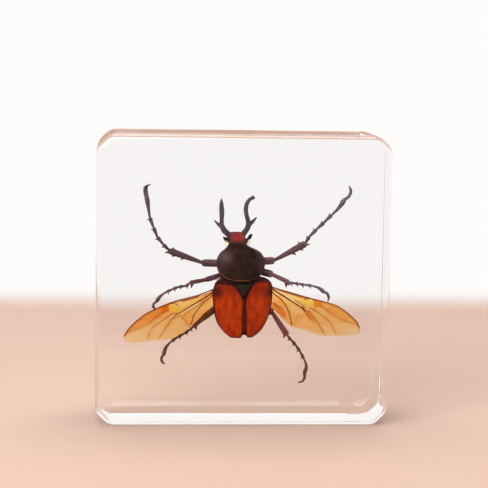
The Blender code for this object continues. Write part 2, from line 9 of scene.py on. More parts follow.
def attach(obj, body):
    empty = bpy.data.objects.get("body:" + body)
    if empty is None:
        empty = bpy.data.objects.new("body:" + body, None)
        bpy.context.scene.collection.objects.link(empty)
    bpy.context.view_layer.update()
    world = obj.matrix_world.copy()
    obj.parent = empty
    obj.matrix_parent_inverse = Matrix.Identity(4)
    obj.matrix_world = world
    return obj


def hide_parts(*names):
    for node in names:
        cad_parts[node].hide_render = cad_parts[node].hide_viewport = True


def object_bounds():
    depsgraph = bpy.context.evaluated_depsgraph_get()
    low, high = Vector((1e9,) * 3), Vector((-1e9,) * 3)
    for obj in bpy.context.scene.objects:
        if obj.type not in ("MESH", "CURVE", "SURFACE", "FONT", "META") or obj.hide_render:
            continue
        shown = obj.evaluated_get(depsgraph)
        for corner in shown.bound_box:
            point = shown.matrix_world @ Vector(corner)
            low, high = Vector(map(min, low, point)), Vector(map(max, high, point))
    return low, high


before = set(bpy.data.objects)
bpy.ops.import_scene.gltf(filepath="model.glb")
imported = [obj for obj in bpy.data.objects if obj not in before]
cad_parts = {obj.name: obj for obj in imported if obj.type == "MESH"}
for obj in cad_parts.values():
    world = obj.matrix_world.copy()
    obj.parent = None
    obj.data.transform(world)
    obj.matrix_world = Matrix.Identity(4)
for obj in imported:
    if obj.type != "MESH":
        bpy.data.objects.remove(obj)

cad_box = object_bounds()


# Thorax and abdomen.
# The dried trunk under the wing covers: hard black-brown shell, with the triangular scutellum on
# its back, coxae and ringed plates below. Its sides carry a few tufts of pale bristles.
MM = 0.001
TRUNK = [
    (22.9, 0.3, 2.6, 1.1, 1.2),
    (23.8, 0.3, 4.1, 2.0, 2.2),
    (25.3, 0.3, 5.4, 2.9, 3.2),
    (27.3, 0.3, 6.4, 3.5, 3.9),
    (30.0, 0.3, 7.1, 4.0, 4.3),
    (33.0, 0.3, 7.55, 4.1, 4.5),
    (35.2, 0.35, 7.6, 3.8, 4.5),
    (36.4, 0.4, 7.15, 2.7, 4.2),
    (37.4, 0.4, 6.0, 2.0, 3.5),
    (37.9, 0.4, 4.4, 1.4, 2.6),
]
TRUNK_MIDDLE = 0.33
TRUNK_SIDE_Y = 0.6
TRUNK_SIDES = 96
TRUNK_STEPS = 14
TRUNK_ENDS = (0.45, 0.1)
END_TURNS = [radians(angle) for angle in (25, 48, 68, 82)]
BACK_FULLNESS = 0.8
BELLY_FULLNESS = 1.25
BELLY_Y = (1.2, 2.4)
BELLY_SWELLS = [
    (2.9, 31.3, 2.3, 0.75, 0.42),
    (-2.4, 31.3, 2.3, 0.75, 0.42),
    (2.1, 38.0, 1.25, 1.0, 0.5),
    (-1.7, 37.6, 1.25, 1.0, 0.5),
    (0.2, 36.6, 0.55, 1.1, 0.45),
]
PLATE_SEAMS = [24.3, 25.7, 27.1, 28.5, 29.9]
PLATE_BOW, PLATE_RISE = 0.018, 0.1
PLATE_SPAN = (0.0, 1.4, 0.9, 0.4)
SEAM_DEPTH, SEAM_HALF = 0.17, 0.13
BREAST_DEPTH, BREAST_HALF = 0.16, 0.14
BREAST_SPAN = (32.1, 35.6, 0.5, 0.6)
WAIST_Z, WAIST_BOW = 32.35, 0.03
WAIST_DEPTH, WAIST_HALF = 0.2, 0.16
WAIST_REACH = (6.4, 5.8)
SCUTELLUM = [(-1.95, 36.2), (0.35, 32.9), (2.05, 36.2)]
SCUTELLUM_SHARES = (0.06, 0.2, 0.4, 0.6, 0.8, 0.94)
SCUTELLUM_SWELL = 0.16
SCUTELLUM_STEPS = [(1.0, -2.4), (1.0, -4.26), (0.95, -4.37), (0.8, -4.4), (0.4, -4.36)]
SEAM_STRIP = (0.45, 0.5, 32.6)
RUDDY_Z, RUDDY_OUT = (34.6, 35.6), (2.6, 4.0)
FLANK_TUFTS = [(-6.35, 0.2, 36.7, -0.35, 0.75), (-5.9, 0.1, 37.1, -0.2, 0.7)]
FLANK_BACK, FLANK_HAIRS, FLANK_SPREAD = -0.3, 26, 0.28
HAIR_TURN, HAIR_HALF = 2.4, 0.035
FAN_FLAT, FAN_LAG, FAN_OPEN, FAN_SHORTER = 0.6, 0.8, 0.35, 0.3
SHELL_IOR = 1.07
BLOTCH_MM, BLOTCH_DARK, BLOTCH_PALE = 2.2, 0.36, 0.66
WAX_MM, WAX_GLOSS = 0.7, (0.3, 0.46)
PIT_MM, PIT_DEPTH, PIT_SPAN = 0.16, 0.012, (0.05, 0.45)
DENT_MM, DENT_DEPTH = 0.9, 0.03
NOISE_SPAN = (0.3, 0.7)
TRUNK_DARK = (0.042, 0.020, 0.015)
TRUNK_BROWN = (0.070, 0.032, 0.024)
BRISTLE_GOLD = (1.0, 0.95, 0.66)
TRUNK_LAYERS = [
    ("seam", (0.75, 0.036, 0.010), 1.0),
    ("ruddy", (0.12, 0.018, 0.018), 0.8),
    ("bristle", BRISTLE_GOLD, 1.0),
]


def through(rows, steps):
    """More rows on a smooth curve through the given ones, which can be of any width."""
    rows = np.array(rows, dtype=float)
    last = len(rows) - 1
    curve = []
    for i in range(last):
        a, b, c, d = (rows[min(max(i + step, 0), last)] for step in (-1, 0, 1, 2))
        for t in np.arange(steps) / steps:
            pull = (c - a) * t + (2 * a - 5 * b + 4 * c - d) * t ** 2
            curve.append(b + (pull + (3 * b - a - 3 * c + d) * t ** 3) / 2)
    return np.array(curve + [rows[-1]])


def cross_section(row, side_y, sides, back=BACK_FULLNESS, belly=BELLY_FULLNESS):
    """A ring round the beetle: height, middle, half width, rise of the back, depth of the belly."""
    height, middle, half_width, rise, depth = row
    turn = 2 * pi * np.arange(sides) / sides
    side, lift = np.cos(turn), np.sin(turn)
    fullness = np.where(lift > 0, back, belly)
    reach = np.where(lift > 0, rise, depth)
    x = middle + np.sign(side) * half_width * np.abs(side) ** fullness
    y = side_y - np.sign(lift) * reach * np.abs(lift) ** fullness
    return np.column_stack([x, y, np.full(sides, height)])


def rings_along(table, steps, side_y, sides, back=BACK_FULLNESS, belly=BELLY_FULLNESS):
    """The rings of a body on a smooth curve through its table of cross-sections."""
    return np.array([cross_section(row, side_y, sides, back, belly) for row in through(table, steps)])


def rounded_ends(rings, low, high):
    """The rings with both ends of the body closed in a rounded way, by a reach along Z."""
    def closing(ring, reach):
        middle, up = ring.mean(axis=0), np.array((0, 0, reach))
        return [middle + (ring - middle) * cos(turn) + up * sin(turn) for turn in END_TURNS]
    return np.array(closing(rings[0], -low)[::-1] + list(rings) + closing(rings[-1], high))


def raised(rings, height):
    """The rings moved outwards, square to the surface, by a height for each point."""
    around = np.roll(rings, -1, axis=1) - np.roll(rings, 1, axis=1)
    along = np.gradient(rings, axis=0)
    facing = np.cross(around, along)
    facing /= np.maximum(np.linalg.norm(facing, axis=2, keepdims=True), 1e-9)
    spokes = rings - rings.mean(axis=1, keepdims=True)
    outward = np.sign(np.sum(facing * spokes, axis=2, keepdims=True))
    return rings + facing * outward * height[..., None]


def hump(across, along=0.0):
    """A soft round hump: 1 in its middle and near 0 past a distance of 2."""
    return np.exp(-(across ** 2) - along ** 2)


def ramp(value, start, end):
    """A soft step from 0 at the start to 1 at the end."""
    t = np.clip((value - start) / (end - start), 0, 1)
    return t * t * (3 - 2 * t)


def between(value, low, high, rising, falling):
    """1 between two bounds and 0 past them, with a soft step inside each."""
    return ramp(value, low, low + rising) * ramp(value, high, high - falling)


def spot(across, along, place):
    """A soft spot, from its middle across and along, and its half width and half length."""
    middle, level, half_width, half_length = place
    return hump((across - middle) / half_width, (along - level) / half_length)


def swells(across, along, rows):
    """How far soft swellings stand out, from rows of a spot's four values and its height."""
    return sum(rise * spot(across, along, place) for *place, rise in rows)


def body_of(name, mesh):
    """A body in the scene from a mesh that is being built, with its faces turned outwards."""
    bmesh.ops.recalc_face_normals(mesh, faces=mesh.faces)
    data = bpy.data.meshes.new(name)
    mesh.to_mesh(data)
    mesh.free()
    body = bpy.data.objects.new(name, data)
    bpy.context.scene.collection.objects.link(body)
    return body


def skin(name, rings):
    """A closed body through rings of equally many points, in millimetres."""
    mesh = bmesh.new()
    loops = [[mesh.verts.new(point) for point in ring] for ring in rings]
    for lower, upper in zip(loops, loops[1:]):
        for i, corner in enumerate(lower):
            j = (i + 1) % len(lower)
            mesh.faces.new((corner, lower[j], upper[j], upper[i]))
    mesh.faces.new(loops[0])
    mesh.faces.new(loops[-1])
    return body_of(name, mesh)


def settle(body):
    """Take in a body's modifiers, so that its mesh is the final one."""
    bpy.context.view_layer.update()
    graph = bpy.context.evaluated_depsgraph_get()
    data = bpy.data.meshes.new_from_object(body.evaluated_get(graph))
    body.modifiers.clear()
    body.data = data
    return body


def work(body, operation, tools):
    """Join or cut a body with tool bodies, which are used up."""
    for tool in tools:
        step = body.modifiers.new(operation.lower(), "BOOLEAN")
        step.operation = operation
        step.solver = "EXACT"
        step.object = tool
        settle(body)
        bpy.data.objects.remove(tool)
    return body


def gathered(name, bodies):
    """Several overlapping bodies in one mesh."""
    mesh = bmesh.new()
    for body in bodies:
        mesh.from_mesh(body.data)
        bpy.data.objects.remove(body)
    return body_of(name, mesh)


def tuft(root, lean, count, spread, length, half_width=HAIR_HALF):
    """A tuft of slim closed cones that lean one way, fanned out from a root."""
    mesh = bmesh.new()
    root, lean = np.array(root, dtype=float), np.array(lean, dtype=float)
    for i in range(count):
        turn, reach = HAIR_TURN * i, (i / count) ** 0.5
        fan = np.array((cos(turn), FAN_FLAT * sin(turn), sin(turn + FAN_LAG))) * reach
        start = root + spread * fan
        tip = start + (lean + FAN_OPEN * fan) * length * (1.0 - FAN_SHORTER * reach)
        base = []
        for corner in (0.0, 2 * pi / 3, 4 * pi / 3):
            base.append(mesh.verts.new(start + half_width * np.array((cos(corner), sin(corner), 0))))
        point = mesh.verts.new(tip)
        mesh.faces.new(base)
        for k in range(3):
            mesh.faces.new((base[k], base[(k + 1) % 3], point))
    return body_of("tuft", mesh)


def mount(body, finish, slot, *nodes, crease=50):
    """Bring a body to metres, give it its finish and let it stand for its CAD nodes."""
    body.data.transform(Matrix.Scale(MM, 4))
    body.data.materials.clear()
    body.data.materials.append(finish)
    body.data.shade_smooth()
    body.data.set_sharp_from_angle(angle=radians(crease))
    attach(body, "root")
    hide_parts(*nodes)
    return body


def places_of(body):
    """The body's points as columns of x, y and z in millimetres."""
    points = np.empty(3 * len(body.data.vertices))
    body.data.vertices.foreach_get("co", points)
    return points.reshape(-1, 3).T


def stain(body, name, values):
    """Give each point of a body a value that its finish reads."""
    layer = body.data.attributes.new(name, "FLOAT", "POINT")
    layer.data.foreach_set("value", np.clip(values, 0, 1).astype(np.float32))


class Finish:
    """A procedural finish, put together from noise, pits, stains and one shader."""

    def __init__(self, name):
        self.material = bpy.data.materials.new(name)
        self.material.use_nodes = True
        self.nodes = self.material.node_tree.nodes
        self.links = self.material.node_tree.links
        self.shader = self.nodes["Principled BSDF"]

    def texture(self, kind, size_mm, stretch):
        """A 3-D texture of about a size, stretched along the axes."""
        texture = self.nodes.new(kind)
        texture.inputs["Scale"].default_value = 1 / (size_mm * MM)
        where = self.nodes.new("ShaderNodeTexCoord")
        spread = self.nodes.new("ShaderNodeMapping")
        spread.inputs["Scale"].default_value = stretch
        self.links.new(where.outputs["Object"], spread.inputs["Vector"])
        self.links.new(spread.outputs["Vector"], texture.inputs["Vector"])
        return texture

    def noise(self, size_mm, detail=3.0, stretch=(1, 1, 1)):
        """Soft blotches of about a size."""
        texture = self.texture("ShaderNodeTexNoise", size_mm, stretch)
        texture.inputs["Detail"].default_value = detail
        return texture.outputs["Fac"]

    def patchy(self, low, high, *texture):
        """A value that wanders softly between two, in blotches of a size, detail and stretch."""
        return self.span(self.noise(*texture), *NOISE_SPAN, low, high)

    def pits(self, size_mm, stretch=(1, 1, 1)):
        """Small round pits about a distance apart."""
        texture = self.texture("ShaderNodeTexVoronoi", size_mm, stretch)
        return self.span(texture.outputs["Distance"], *PIT_SPAN, 0.0, 1.0)

    def stained(self, name, most=1.0):
        """A value that was given to each point of the body, up to the most that it may be."""
        layer = self.nodes.new("ShaderNodeAttribute")
        layer.attribute_name = name
        return self.span(layer.outputs["Fac"], 0.0, 1.0, 0.0, most)

    def span(self, source, low, high, to_low, to_high):
        """A value brought from one span to another, and held at its ends."""
        node = self.nodes.new("ShaderNodeMapRange")
        for socket, number in (("From Min", low), ("From Max", high),
                               ("To Min", to_low), ("To Max", to_high)):
            node.inputs[socket].default_value = number
        self.links.new(source, node.inputs["Value"])
        return node.outputs["Result"]

    def combined(self, operation, first, second):
        """Two values multiplied or added together."""
        node = self.nodes.new("ShaderNodeMath")
        node.operation = operation
        self.links.new(first, node.inputs[0])
        self.links.new(second, node.inputs[1])
        return node.outputs["Value"]

    def shades(self, source, stops):
        """Colours along a value, as pairs of value and colour."""
        node = self.nodes.new("ShaderNodeValToRGB")
        band = node.color_ramp
        while len(band.elements) < len(stops):
            band.elements.new(0.5)
        for element, (value, colour) in zip(band.elements, stops):
            element.position = value
            element.color = (*colour, 1.0)
        self.links.new(source, node.inputs["Fac"])
        return node.outputs["Color"]

    def over(self, under, top, amount):
        """One colour laid over another by an amount that varies."""
        node = self.nodes.new("ShaderNodeMix")
        node.data_type = "RGBA"
        self.links.new(amount, node.inputs["Factor"])
        self.links.new(under, node.inputs["A"])
        node.inputs["B"].default_value = (*top, 1.0)
        return node.outputs["Result"]

    def layered(self, colour, layers):
        """Colours laid over the first one, from rows of stain, colour and strength."""
        for name, top, strength in layers:
            colour = self.over(colour, top, self.stained(name, strength))
        return colour

    def relief(self, *layers):
        """Fine relief from pairs of height and depth in millimetres."""
        facing = None
        for height, depth_mm in layers:
            node = self.nodes.new("ShaderNodeBump")
            node.inputs["Distance"].default_value = depth_mm * MM
            self.links.new(height, node.inputs["Height"])
            if facing is not None:
                self.links.new(facing, node.inputs["Normal"])
            facing = node.outputs["Normal"]
        self.links.new(facing, self.shader.inputs["Normal"])

    def set(self, **values):
        """Shader values: linked where they vary, set on the socket where they don't."""
        for name, value in values.items():
            socket = self.shader.inputs[name.replace("_", " ")]
            if isinstance(value, bpy.types.NodeSocket):
                self.links.new(value, socket)
            else:
                socket.default_value = value


def horny(name, dark, pale, pit_mm=PIT_MM):
    """Hard insect shell: blotched colour, fine pits and an uneven waxy gloss."""
    finish = Finish(name)
    colour = finish.shades(finish.noise(BLOTCH_MM), [(BLOTCH_DARK, dark), (BLOTCH_PALE, pale)])
    finish.set(Base_Color=colour, Roughness=finish.patchy(*WAX_GLOSS, WAX_MM), IOR=SHELL_IOR)
    finish.relief((finish.pits(pit_mm), PIT_DEPTH), (finish.noise(DENT_MM), DENT_DEPTH))
    return finish, colour


def belly_relief(x, y, z):
    """How far the underside's plates, coxae and ridges stand out from the plain trunk."""
    side = x - TRUNK_MIDDLE
    bowed = z - PLATE_BOW * side ** 2
    height = swells(x, z, BELLY_SWELLS)
    for seam in PLATE_SEAMS:
        height -= SEAM_DEPTH * hump((bowed - seam) / SEAM_HALF)
        height += PLATE_RISE * between(bowed - seam, *PLATE_SPAN)
    height -= BREAST_DEPTH * hump(side / BREAST_HALF) * between(z, *BREAST_SPAN)
    waist = hump((z - WAIST_Z - WAIST_BOW * side ** 2) / WAIST_HALF)
    height -= WAIST_DEPTH * waist * ramp(np.abs(side), *WAIST_REACH)
    return height * ramp(y, *BELLY_Y)


rings = rings_along(TRUNK, TRUNK_STEPS, TRUNK_SIDE_Y, TRUNK_SIDES)
relief = belly_relief(*rings.transpose(2, 0, 1))
trunk = skin("thorax_and_abdomen_shell", rounded_ends(raised(rings, relief), *TRUNK_ENDS))

corners = np.array(SCUTELLUM)
edge = []
for i, corner in enumerate(corners):
    along = corners[(i + 1) % 3] - corner
    outward = np.array((along[1], -along[0])) / np.linalg.norm(along)
    swell = SCUTELLUM_SWELL if i < 2 else 0.0
    for share in SCUTELLUM_SHARES:
        edge.append(corner + share * along + swell * sin(pi * share) * outward)
edge = np.array(edge)
plate = []
for share, level in SCUTELLUM_STEPS:
    spread = edge.mean(axis=0) * (1 - share) + edge * share
    plate.append(np.column_stack([spread[:, 0], np.full(len(edge), level), spread[:, 1]]))
work(trunk, "UNION", [skin("scutellum", plate)])
shell_points = len(trunk.data.vertices)
tufts = [tuft((x, y, z), (lean, FLANK_BACK, 1.0), FLANK_HAIRS, FLANK_SPREAD, rise)
         for x, y, z, lean, rise in FLANK_TUFTS]
trunk = gathered("thorax_and_abdomen_shell", [trunk] + tufts)
x, y, z = places_of(trunk)
stain(trunk, "bristle", np.arange(len(x)) >= shell_points)
seam_x, seam_half, seam_top = SEAM_STRIP
stain(trunk, "seam", hump((x - seam_x) / seam_half) * ramp(seam_top - z, 0, 1) * ramp(-y, 1, 2))
stain(trunk, "ruddy", ramp(z, *RUDDY_Z) * ramp(np.abs(x - seam_x), *RUDDY_OUT))
finish, colour = horny("trunk_shell", TRUNK_DARK, TRUNK_BROWN)
finish.set(Base_Color=finish.layered(colour, TRUNK_LAYERS))
mount(trunk, finish.material, "dark_shell", "thorax_and_abdomen")


# Pronotum.
# The domed shield of the first body ring, black-brown and finely pitted, with a thin brown rim
# along its hind margin. The head is let into its front and the front legs come out below it.
PRONOTUM = [
    (36.7, -0.2, 1.6, 3.4, 1.5),
    (37.1, -0.3, 3.2, 3.8, 2.2),
    (37.8, -0.4, 4.6, 4.2, 2.8),
    (38.8, -0.4, 5.55, 4.5, 3.3),
    (40.0, -0.4, 6.0, 4.6, 3.6),
    (41.2, -0.4, 6.2, 4.5, 3.6),
    (42.4, -0.45, 6.1, 4.3, 3.6),
    (43.5, -0.45, 5.6, 3.9, 3.5),
    (44.4, -0.5, 4.9, 3.5, 3.2),
    (45.2, -0.7, 3.8, 3.0, 2.9),
    (45.8, -1.1, 2.85, 2.5, 2.6),
    (46.5, -1.4, 2.25, 2.1, 2.3),
]
PRONOTUM_SIDE_Y = -0.3
PRONOTUM_SIDES = 96
PRONOTUM_STEPS = 12
PRONOTUM_ENDS = (0.12, 0.2)
PRONOTUM_PIT_MM = 0.2
HIND_ROWS = 6
RIM_INSET, RIM_WIDTH, RIM_RISE = 0.42, 0.13, 0.06
RIM_BACK = (0.2, 1.0)
FLANK_SPAN = (38.0, 45.2, 1.0, 1.2)
FLANK_LINES = [(0.15, 0.28, 0.14), (0.75, 0.3, -0.10)]
THROAT_Y = (0.8, 1.8)
FRONT_COXAE = [(1.2, 41.3, 1.4, 1.5, 0.6), (-1.9, 41.0, 1.4, 1.5, 0.6)]
THROAT_RIDGE = [(0.0, 41.2, 0.6, 2.4, 0.3)]
THROAT_GROOVE = (38.6, 0.3, 0.2)
SHOULDER_SHEEN_SPOT = (-3.9, 43.2, 1.5, 1.5)
RUDDY_SPOT = (-0.8, 44.9, 0.6, 0.5)
SIDE_SHEEN_OUT, SIDE_SHEEN_Z = (3.1, 5.58), (38.0, 40.0)
PRONOTUM_DARK = (0.030, 0.0125, 0.009)
PRONOTUM_BROWN = (0.062, 0.026, 0.018)
PRONOTUM_LAYERS = [
    # Painted sheen: the shield's sides are lighter and purplish where soft highlights fall.
    ("edge", (0.11, 0.054, 0.072), 0.8),
    # Painted sheen: a lighter purplish spot on the left shoulder, where a soft highlight falls.
    ("shoulder_sheen", (0.20, 0.125, 0.13), 0.8),
    ("ruddy", (0.20, 0.035, 0.018), 0.35),
    ("rim", (0.46, 0.15, 0.055), 1.0),
]


def shield_side(x, z):
    """How far a point is sideways of the pronotum's middle."""
    rows = np.array(PRONOTUM)
    return x - np.interp(z, rows[:, 0], rows[:, 1])


def rim_at(x, y, z):
    """1 on the thin rim along the pronotum's hind margin, on its back."""
    rows = through(PRONOTUM[:HIND_ROWS], HIND_ROWS)
    margin = np.interp(np.abs(shield_side(x, z)), rows[:, 2], rows[:, 0])
    return hump((z - margin - RIM_INSET) / RIM_WIDTH) * ramp(-y, *RIM_BACK)


def pronotum_relief(x, y, z):
    """Side rims, the bead along the hind margin, throat and the front coxae."""
    side = shield_side(x, z)
    height = RIM_RISE * rim_at(x, y, z)
    for lift, half, rise in FLANK_LINES:
        height += rise * hump((y - PRONOTUM_SIDE_Y + lift) / half) * between(z, *FLANK_SPAN)
    level, half, depth = THROAT_GROOVE
    throat = swells(x, z, FRONT_COXAE) + swells(side, z, THROAT_RIDGE)
    throat -= depth * hump((z - level) / half)
    return height + throat * ramp(y, *THROAT_Y)


rings = rings_along(PRONOTUM, PRONOTUM_STEPS, PRONOTUM_SIDE_Y, PRONOTUM_SIDES)
relief = pronotum_relief(*rings.transpose(2, 0, 1))
pronotum = skin("pronotum_shell", rounded_ends(raised(rings, relief), *PRONOTUM_ENDS))
x, y, z = places_of(pronotum)
side = shield_side(x, z)
stain(pronotum, "rim", rim_at(x, y, z))
# Painted sheen: a lighter purplish spot on the shield's left shoulder, standing in for a soft
# highlight.
stain(pronotum, "shoulder_sheen", spot(side, z, SHOULDER_SHEEN_SPOT))
# Painted sheen along the sides of the shield, lighter and purplish where soft highlights fall.
stain(pronotum, "edge", ramp(np.abs(side), *SIDE_SHEEN_OUT) * ramp(z, *SIDE_SHEEN_Z))
stain(pronotum, "ruddy", spot(side, z, RUDDY_SPOT) * ramp(-y, 0, 1))
finish, colour = horny("pronotum_shell", PRONOTUM_DARK, PRONOTUM_BROWN, PRONOTUM_PIT_MM)
finish.set(Base_Color=finish.layered(colour, PRONOTUM_LAYERS))
mount(pronotum, finish.material, "dark_shell", "pronotum")


# Head.
# The small head of hard maroon shell, let into the pronotum's front. Two antler horns grow from
# beside its red shield plate, with eyes, short leafed feelers and pale bristles at its sides.
HEAD = [
    (45.5, -1.1, 1.5, 0.8, 0.9),
    (46.6, -1.4, 2.2, 1.1, 1.2),
    (47.0, -1.4, 2.4, 1.25, 1.6),
    (47.7, -1.45, 2.35, 1.3, 1.6),
    (48.5, -1.6, 2.0, 1.0, 1.3),
    (49.3, -1.75, 1.75, 0.5, 0.8),
]
HEAD_SIDE_Y = 0.3
HEAD_SIDES = 64
HEAD_STEPS = 8
HEAD_ENDS = (0.1, 0.25)
HEAD_FULLNESS = 0.55
HEAD_PIT_MM = 0.13
FACE_DISH = [(-1.45, 48.1, 1.25, 0.85, -0.3)]
FACE_LIP = (49.25, 0.2, 0.18)
FACE_BACK, SHIELD_BACK = (0.1, 0.7), (-0.2, 0.4)
SHIELD_SPOT = (-1.3, 48.1, 1.6, 1.4)
SHIELD_SPAN = (46.6, 49.75, 0.4, 0.4)
HORNS_MIDDLE = -1.3
HORN_Z, HORN_OUT = (49.2, 50.6), (2.9, 3.4)
ROOT_Z, ROOT_HALF, ROOT_BACK = 50.2, 1.3, (-0.9, 0.2)
EYES = [(-3.75, 47.1), (1.25, 47.15)]
EYE_RADIUS, EYE_STRETCH, EYE_SOFT = 0.72, 0.02, 0.12
HORN_LEFT = [
    (-2.9, 0.6, 48.0, 0.8),
    (-3.8, 0.3, 48.9, 0.76),
    (-4.9, -0.3, 50.0, 0.74),
    (-5.5, -0.8, 51.4, 0.62),
    (-5.55, -1.1, 52.8, 0.54),
    (-5.55, -1.3, 54.4, 0.66),
    (-5.65, -1.3, 56.2, 0.6),
    (-5.7, -1.2, 57.3, 0.42),
    (-5.7, -1.1, 58.1, 0.14),
]
PRONG_LEFT = [(-5.2, -0.7, 50.6, 0.56), (-6.4, -0.7, 51.5, 0.4), (-7.4, -0.7, 52.5, 0.15)]
HORN_RIGHT = [
    (-0.3, 0.6, 48.2, 0.8),
    (0.4, 0.3, 49.3, 0.74),
    (1.1, -0.3, 50.4, 0.7),
    (1.4, -0.8, 51.6, 0.7),
    (1.15, -1.1, 52.9, 0.57),
    (0.75, -1.3, 54.4, 0.57),
    (0.65, -1.3, 55.8, 0.58),
    (0.95, -1.2, 57.1, 0.54),
    (1.7, -1.1, 58.1, 0.47),
    (2.55, -1.0, 58.45, 0.44),
]
PRONG_RIGHT = [(1.5, -0.8, 51.4, 0.6), (2.5, -0.7, 52.3, 0.46), (3.45, -0.6, 53.35, 0.16)]
FORK_RIGHT = [(2.2, -1.0, 58.4, 0.34), (2.35, -1.0, 58.95, 0.18)]
FEELER_STEMS = [
    [(-3.5, 0.1, 46.8, 0.15), (-4.25, 0.0, 46.95, 0.14), (-4.85, -0.05, 47.7, 0.14)],
    [(0.9, 0.1, 47.0, 0.16), (1.35, 0.0, 47.15, 0.15), (1.5, 0.0, 47.6, 0.17)],
]
FEELER_LEAVES = [
    [(-5.0, -0.05, 48.05, 0.2), (-4.4, 0.0, 47.8, 0.32), (-3.7, 0.05, 47.45, 0.26)],
    [(1.45, 0.0, 47.6, 0.34), (1.8, -0.05, 48.2, 0.5), (2.2, -0.1, 48.75, 0.34)],
]
LEAF_SPACING, LEAF_FLAT = 0.14, 0.35
MOUTH_FEELERS = [
    [(-2.5, 1.5, 48.0, 0.2), (-2.9, 1.9, 48.5, 0.17), (-2.7, 2.1, 49.0, 0.13)],
    [(-0.6, 1.5, 48.0, 0.2), (-0.2, 1.9, 48.5, 0.17), (-0.4, 2.1, 49.0, 0.13)],
]
FEELER_SHADE, FEELER_SOFT = 0.46, 0.08
EYE_LOBES = [(-3.75, 47.65, 0.32), (1.15, 47.5, 0.3)]
CHEEK_TUFTS = [(-4.25, -0.4, 46.9, -0.45, -0.4, 0.55), (-4.2, -0.45, 46.5, -0.3, -0.8, 0.7),
               (-3.95, -0.5, 46.5, -0.2, -0.9, 0.7), (1.5, -0.5, 47.2, 0.3, 0.3, 0.5),
               (1.8, -0.45, 46.8, 0.5, -0.2, 0.5), (1.6, -0.5, 46.6, 0.2, -0.6, 0.5)]
CHEEK_BACK, CHEEK_HAIRS, CHEEK_SPREAD, CHEEK_HALF = -0.2, 42, 0.32, 0.055
BROW_WIDTH, BROW_SOFT = 0.12, 0.1
BROW_REACH, BROW_Z = (2.35, 2.7), (47.45, 47.25)
HORN_SIDES, HORN_STEPS = 24, 6
FEELER_SIDES, FEELER_STEPS = 12, 4
HEAD_VOXEL, HEAD_SOFTENING = 0.065, 2
HEAD_MAROON = (0.16, 0.062, 0.072)
HEAD_BROWN = (0.22, 0.082, 0.092)
HORN_DARK = (0.125, 0.092, 0.125)
HORN_PALE = (0.19, 0.16, 0.21)
HEAD_LAYERS = [
    ("root", (0.19, 0.12, 0.165), 0.6),
    ("plate", (0.56, 0.050, 0.036), 1.0),
    ("eye", (0.035, 0.024, 0.026), 1.0),
    ("bristle", BRISTLE_GOLD, 1.0),
]
HORN_CLOUD_MM, HORN_CLOUDS = 1.3, (0.35, 0.7)
BRISTLE_DEPTH = 1.0 * MM
BRISTLE_SPREAD = (1.0, 0.95, 0.7)
# Painted glow: the pale bristles give off a little light of their own.
BRISTLE_PAINTED_GLOW = 0.22


def rod(name, spine, sides=14, flat=1.0, blunt=(1.0, 1.0)):
    """A tapering rod with rounded ends, along points of x, y, z and radius."""
    spine = np.array(spine, dtype=float)
    places, radii = spine[:, :3], spine[:, 3]
    turn = 2 * pi * np.arange(sides) / sides
    rings = []
    for i, place in enumerate(places):
        along = places[min(i + 1, len(places) - 1)] - places[max(i - 1, 0)]
        along /= np.linalg.norm(along)
        across = np.cross(along, (0, 1, 0))
        across /= np.linalg.norm(across)
        up = np.cross(across, along)
        spoke = np.outer(np.cos(turn), across) + flat * np.outer(np.sin(turn), up)
        closing = [(radii[i] * sin(end), spoke * radii[i] * cos(end)) for end in END_TURNS]
        if i == 0:
            rings += [place - along * reach * blunt[0] + ring for reach, ring in closing[::-1]]
        rings.append(place + radii[i] * spoke)
        if i == len(places) - 1:
            rings += [place + along * reach * blunt[1] + ring for reach, ring in closing]
    return skin(name, rings)


def grown_together(body, voxel, rounds):
    """Overlapping bodies melted into one surface, with soft hollows where they meet."""
    melt = body.modifiers.new("melt", "REMESH")
    melt.mode = "VOXEL"
    melt.voxel_size = voxel
    soften = body.modifiers.new("soften", "SMOOTH")
    soften.iterations = rounds
    return settle(body)


def near_route(x, z, route):
    """The distance from each point to a route of x, z, seen from the front."""
    nearest = np.full(np.shape(x), 1e9)
    for (x0, z0), (x1, z1) in zip(route, route[1:]):
        run, rise = x1 - x0, z1 - z0
        share = np.clip(((x - x0) * run + (z - z0) * rise) / (run ** 2 + rise ** 2), 0, 1)
        nearest = np.minimum(nearest, np.hypot(x - x0 - share * run, z - z0 - share * rise))
    return nearest


rings = rings_along(HEAD, HEAD_STEPS, HEAD_SIDE_Y, HEAD_SIDES, HEAD_FULLNESS, belly=1.0)
x, y, z = rings.transpose(2, 0, 1)
lip_z, lip_half, lip_rise = FACE_LIP
relief = swells(x, z, FACE_DISH) + lip_rise * hump((z - lip_z) / lip_half)
relief *= ramp(-y, *FACE_BACK)
parts = [skin("capsule", rounded_ends(raised(rings, relief), *HEAD_ENDS))]
for x, z in EYES:
    spine = [(x, HEAD_SIDE_Y, z + lift, EYE_RADIUS) for lift in (-EYE_STRETCH, EYE_STRETCH)]
    parts.append(rod("eye", spine))
for route in (HORN_LEFT, HORN_RIGHT, PRONG_LEFT, PRONG_RIGHT, FORK_RIGHT):
    parts.append(rod("horn", through(route, HORN_STEPS), HORN_SIDES))
for route in FEELER_STEMS + MOUTH_FEELERS:
    parts.append(rod("feeler", through(route, FEELER_STEPS), FEELER_SIDES))
for route in FEELER_LEAVES:
    for turned in (-LEAF_SPACING, 0.0, LEAF_SPACING):
        leaf = [(x, y + turned, z, radius) for x, y, z, radius in route]
        parts.append(rod("leaf", through(leaf, FEELER_STEPS), FEELER_SIDES, LEAF_FLAT))
head = grown_together(gathered("head_shell", parts), HEAD_VOXEL, HEAD_SOFTENING)
shell_points = len(head.data.vertices)
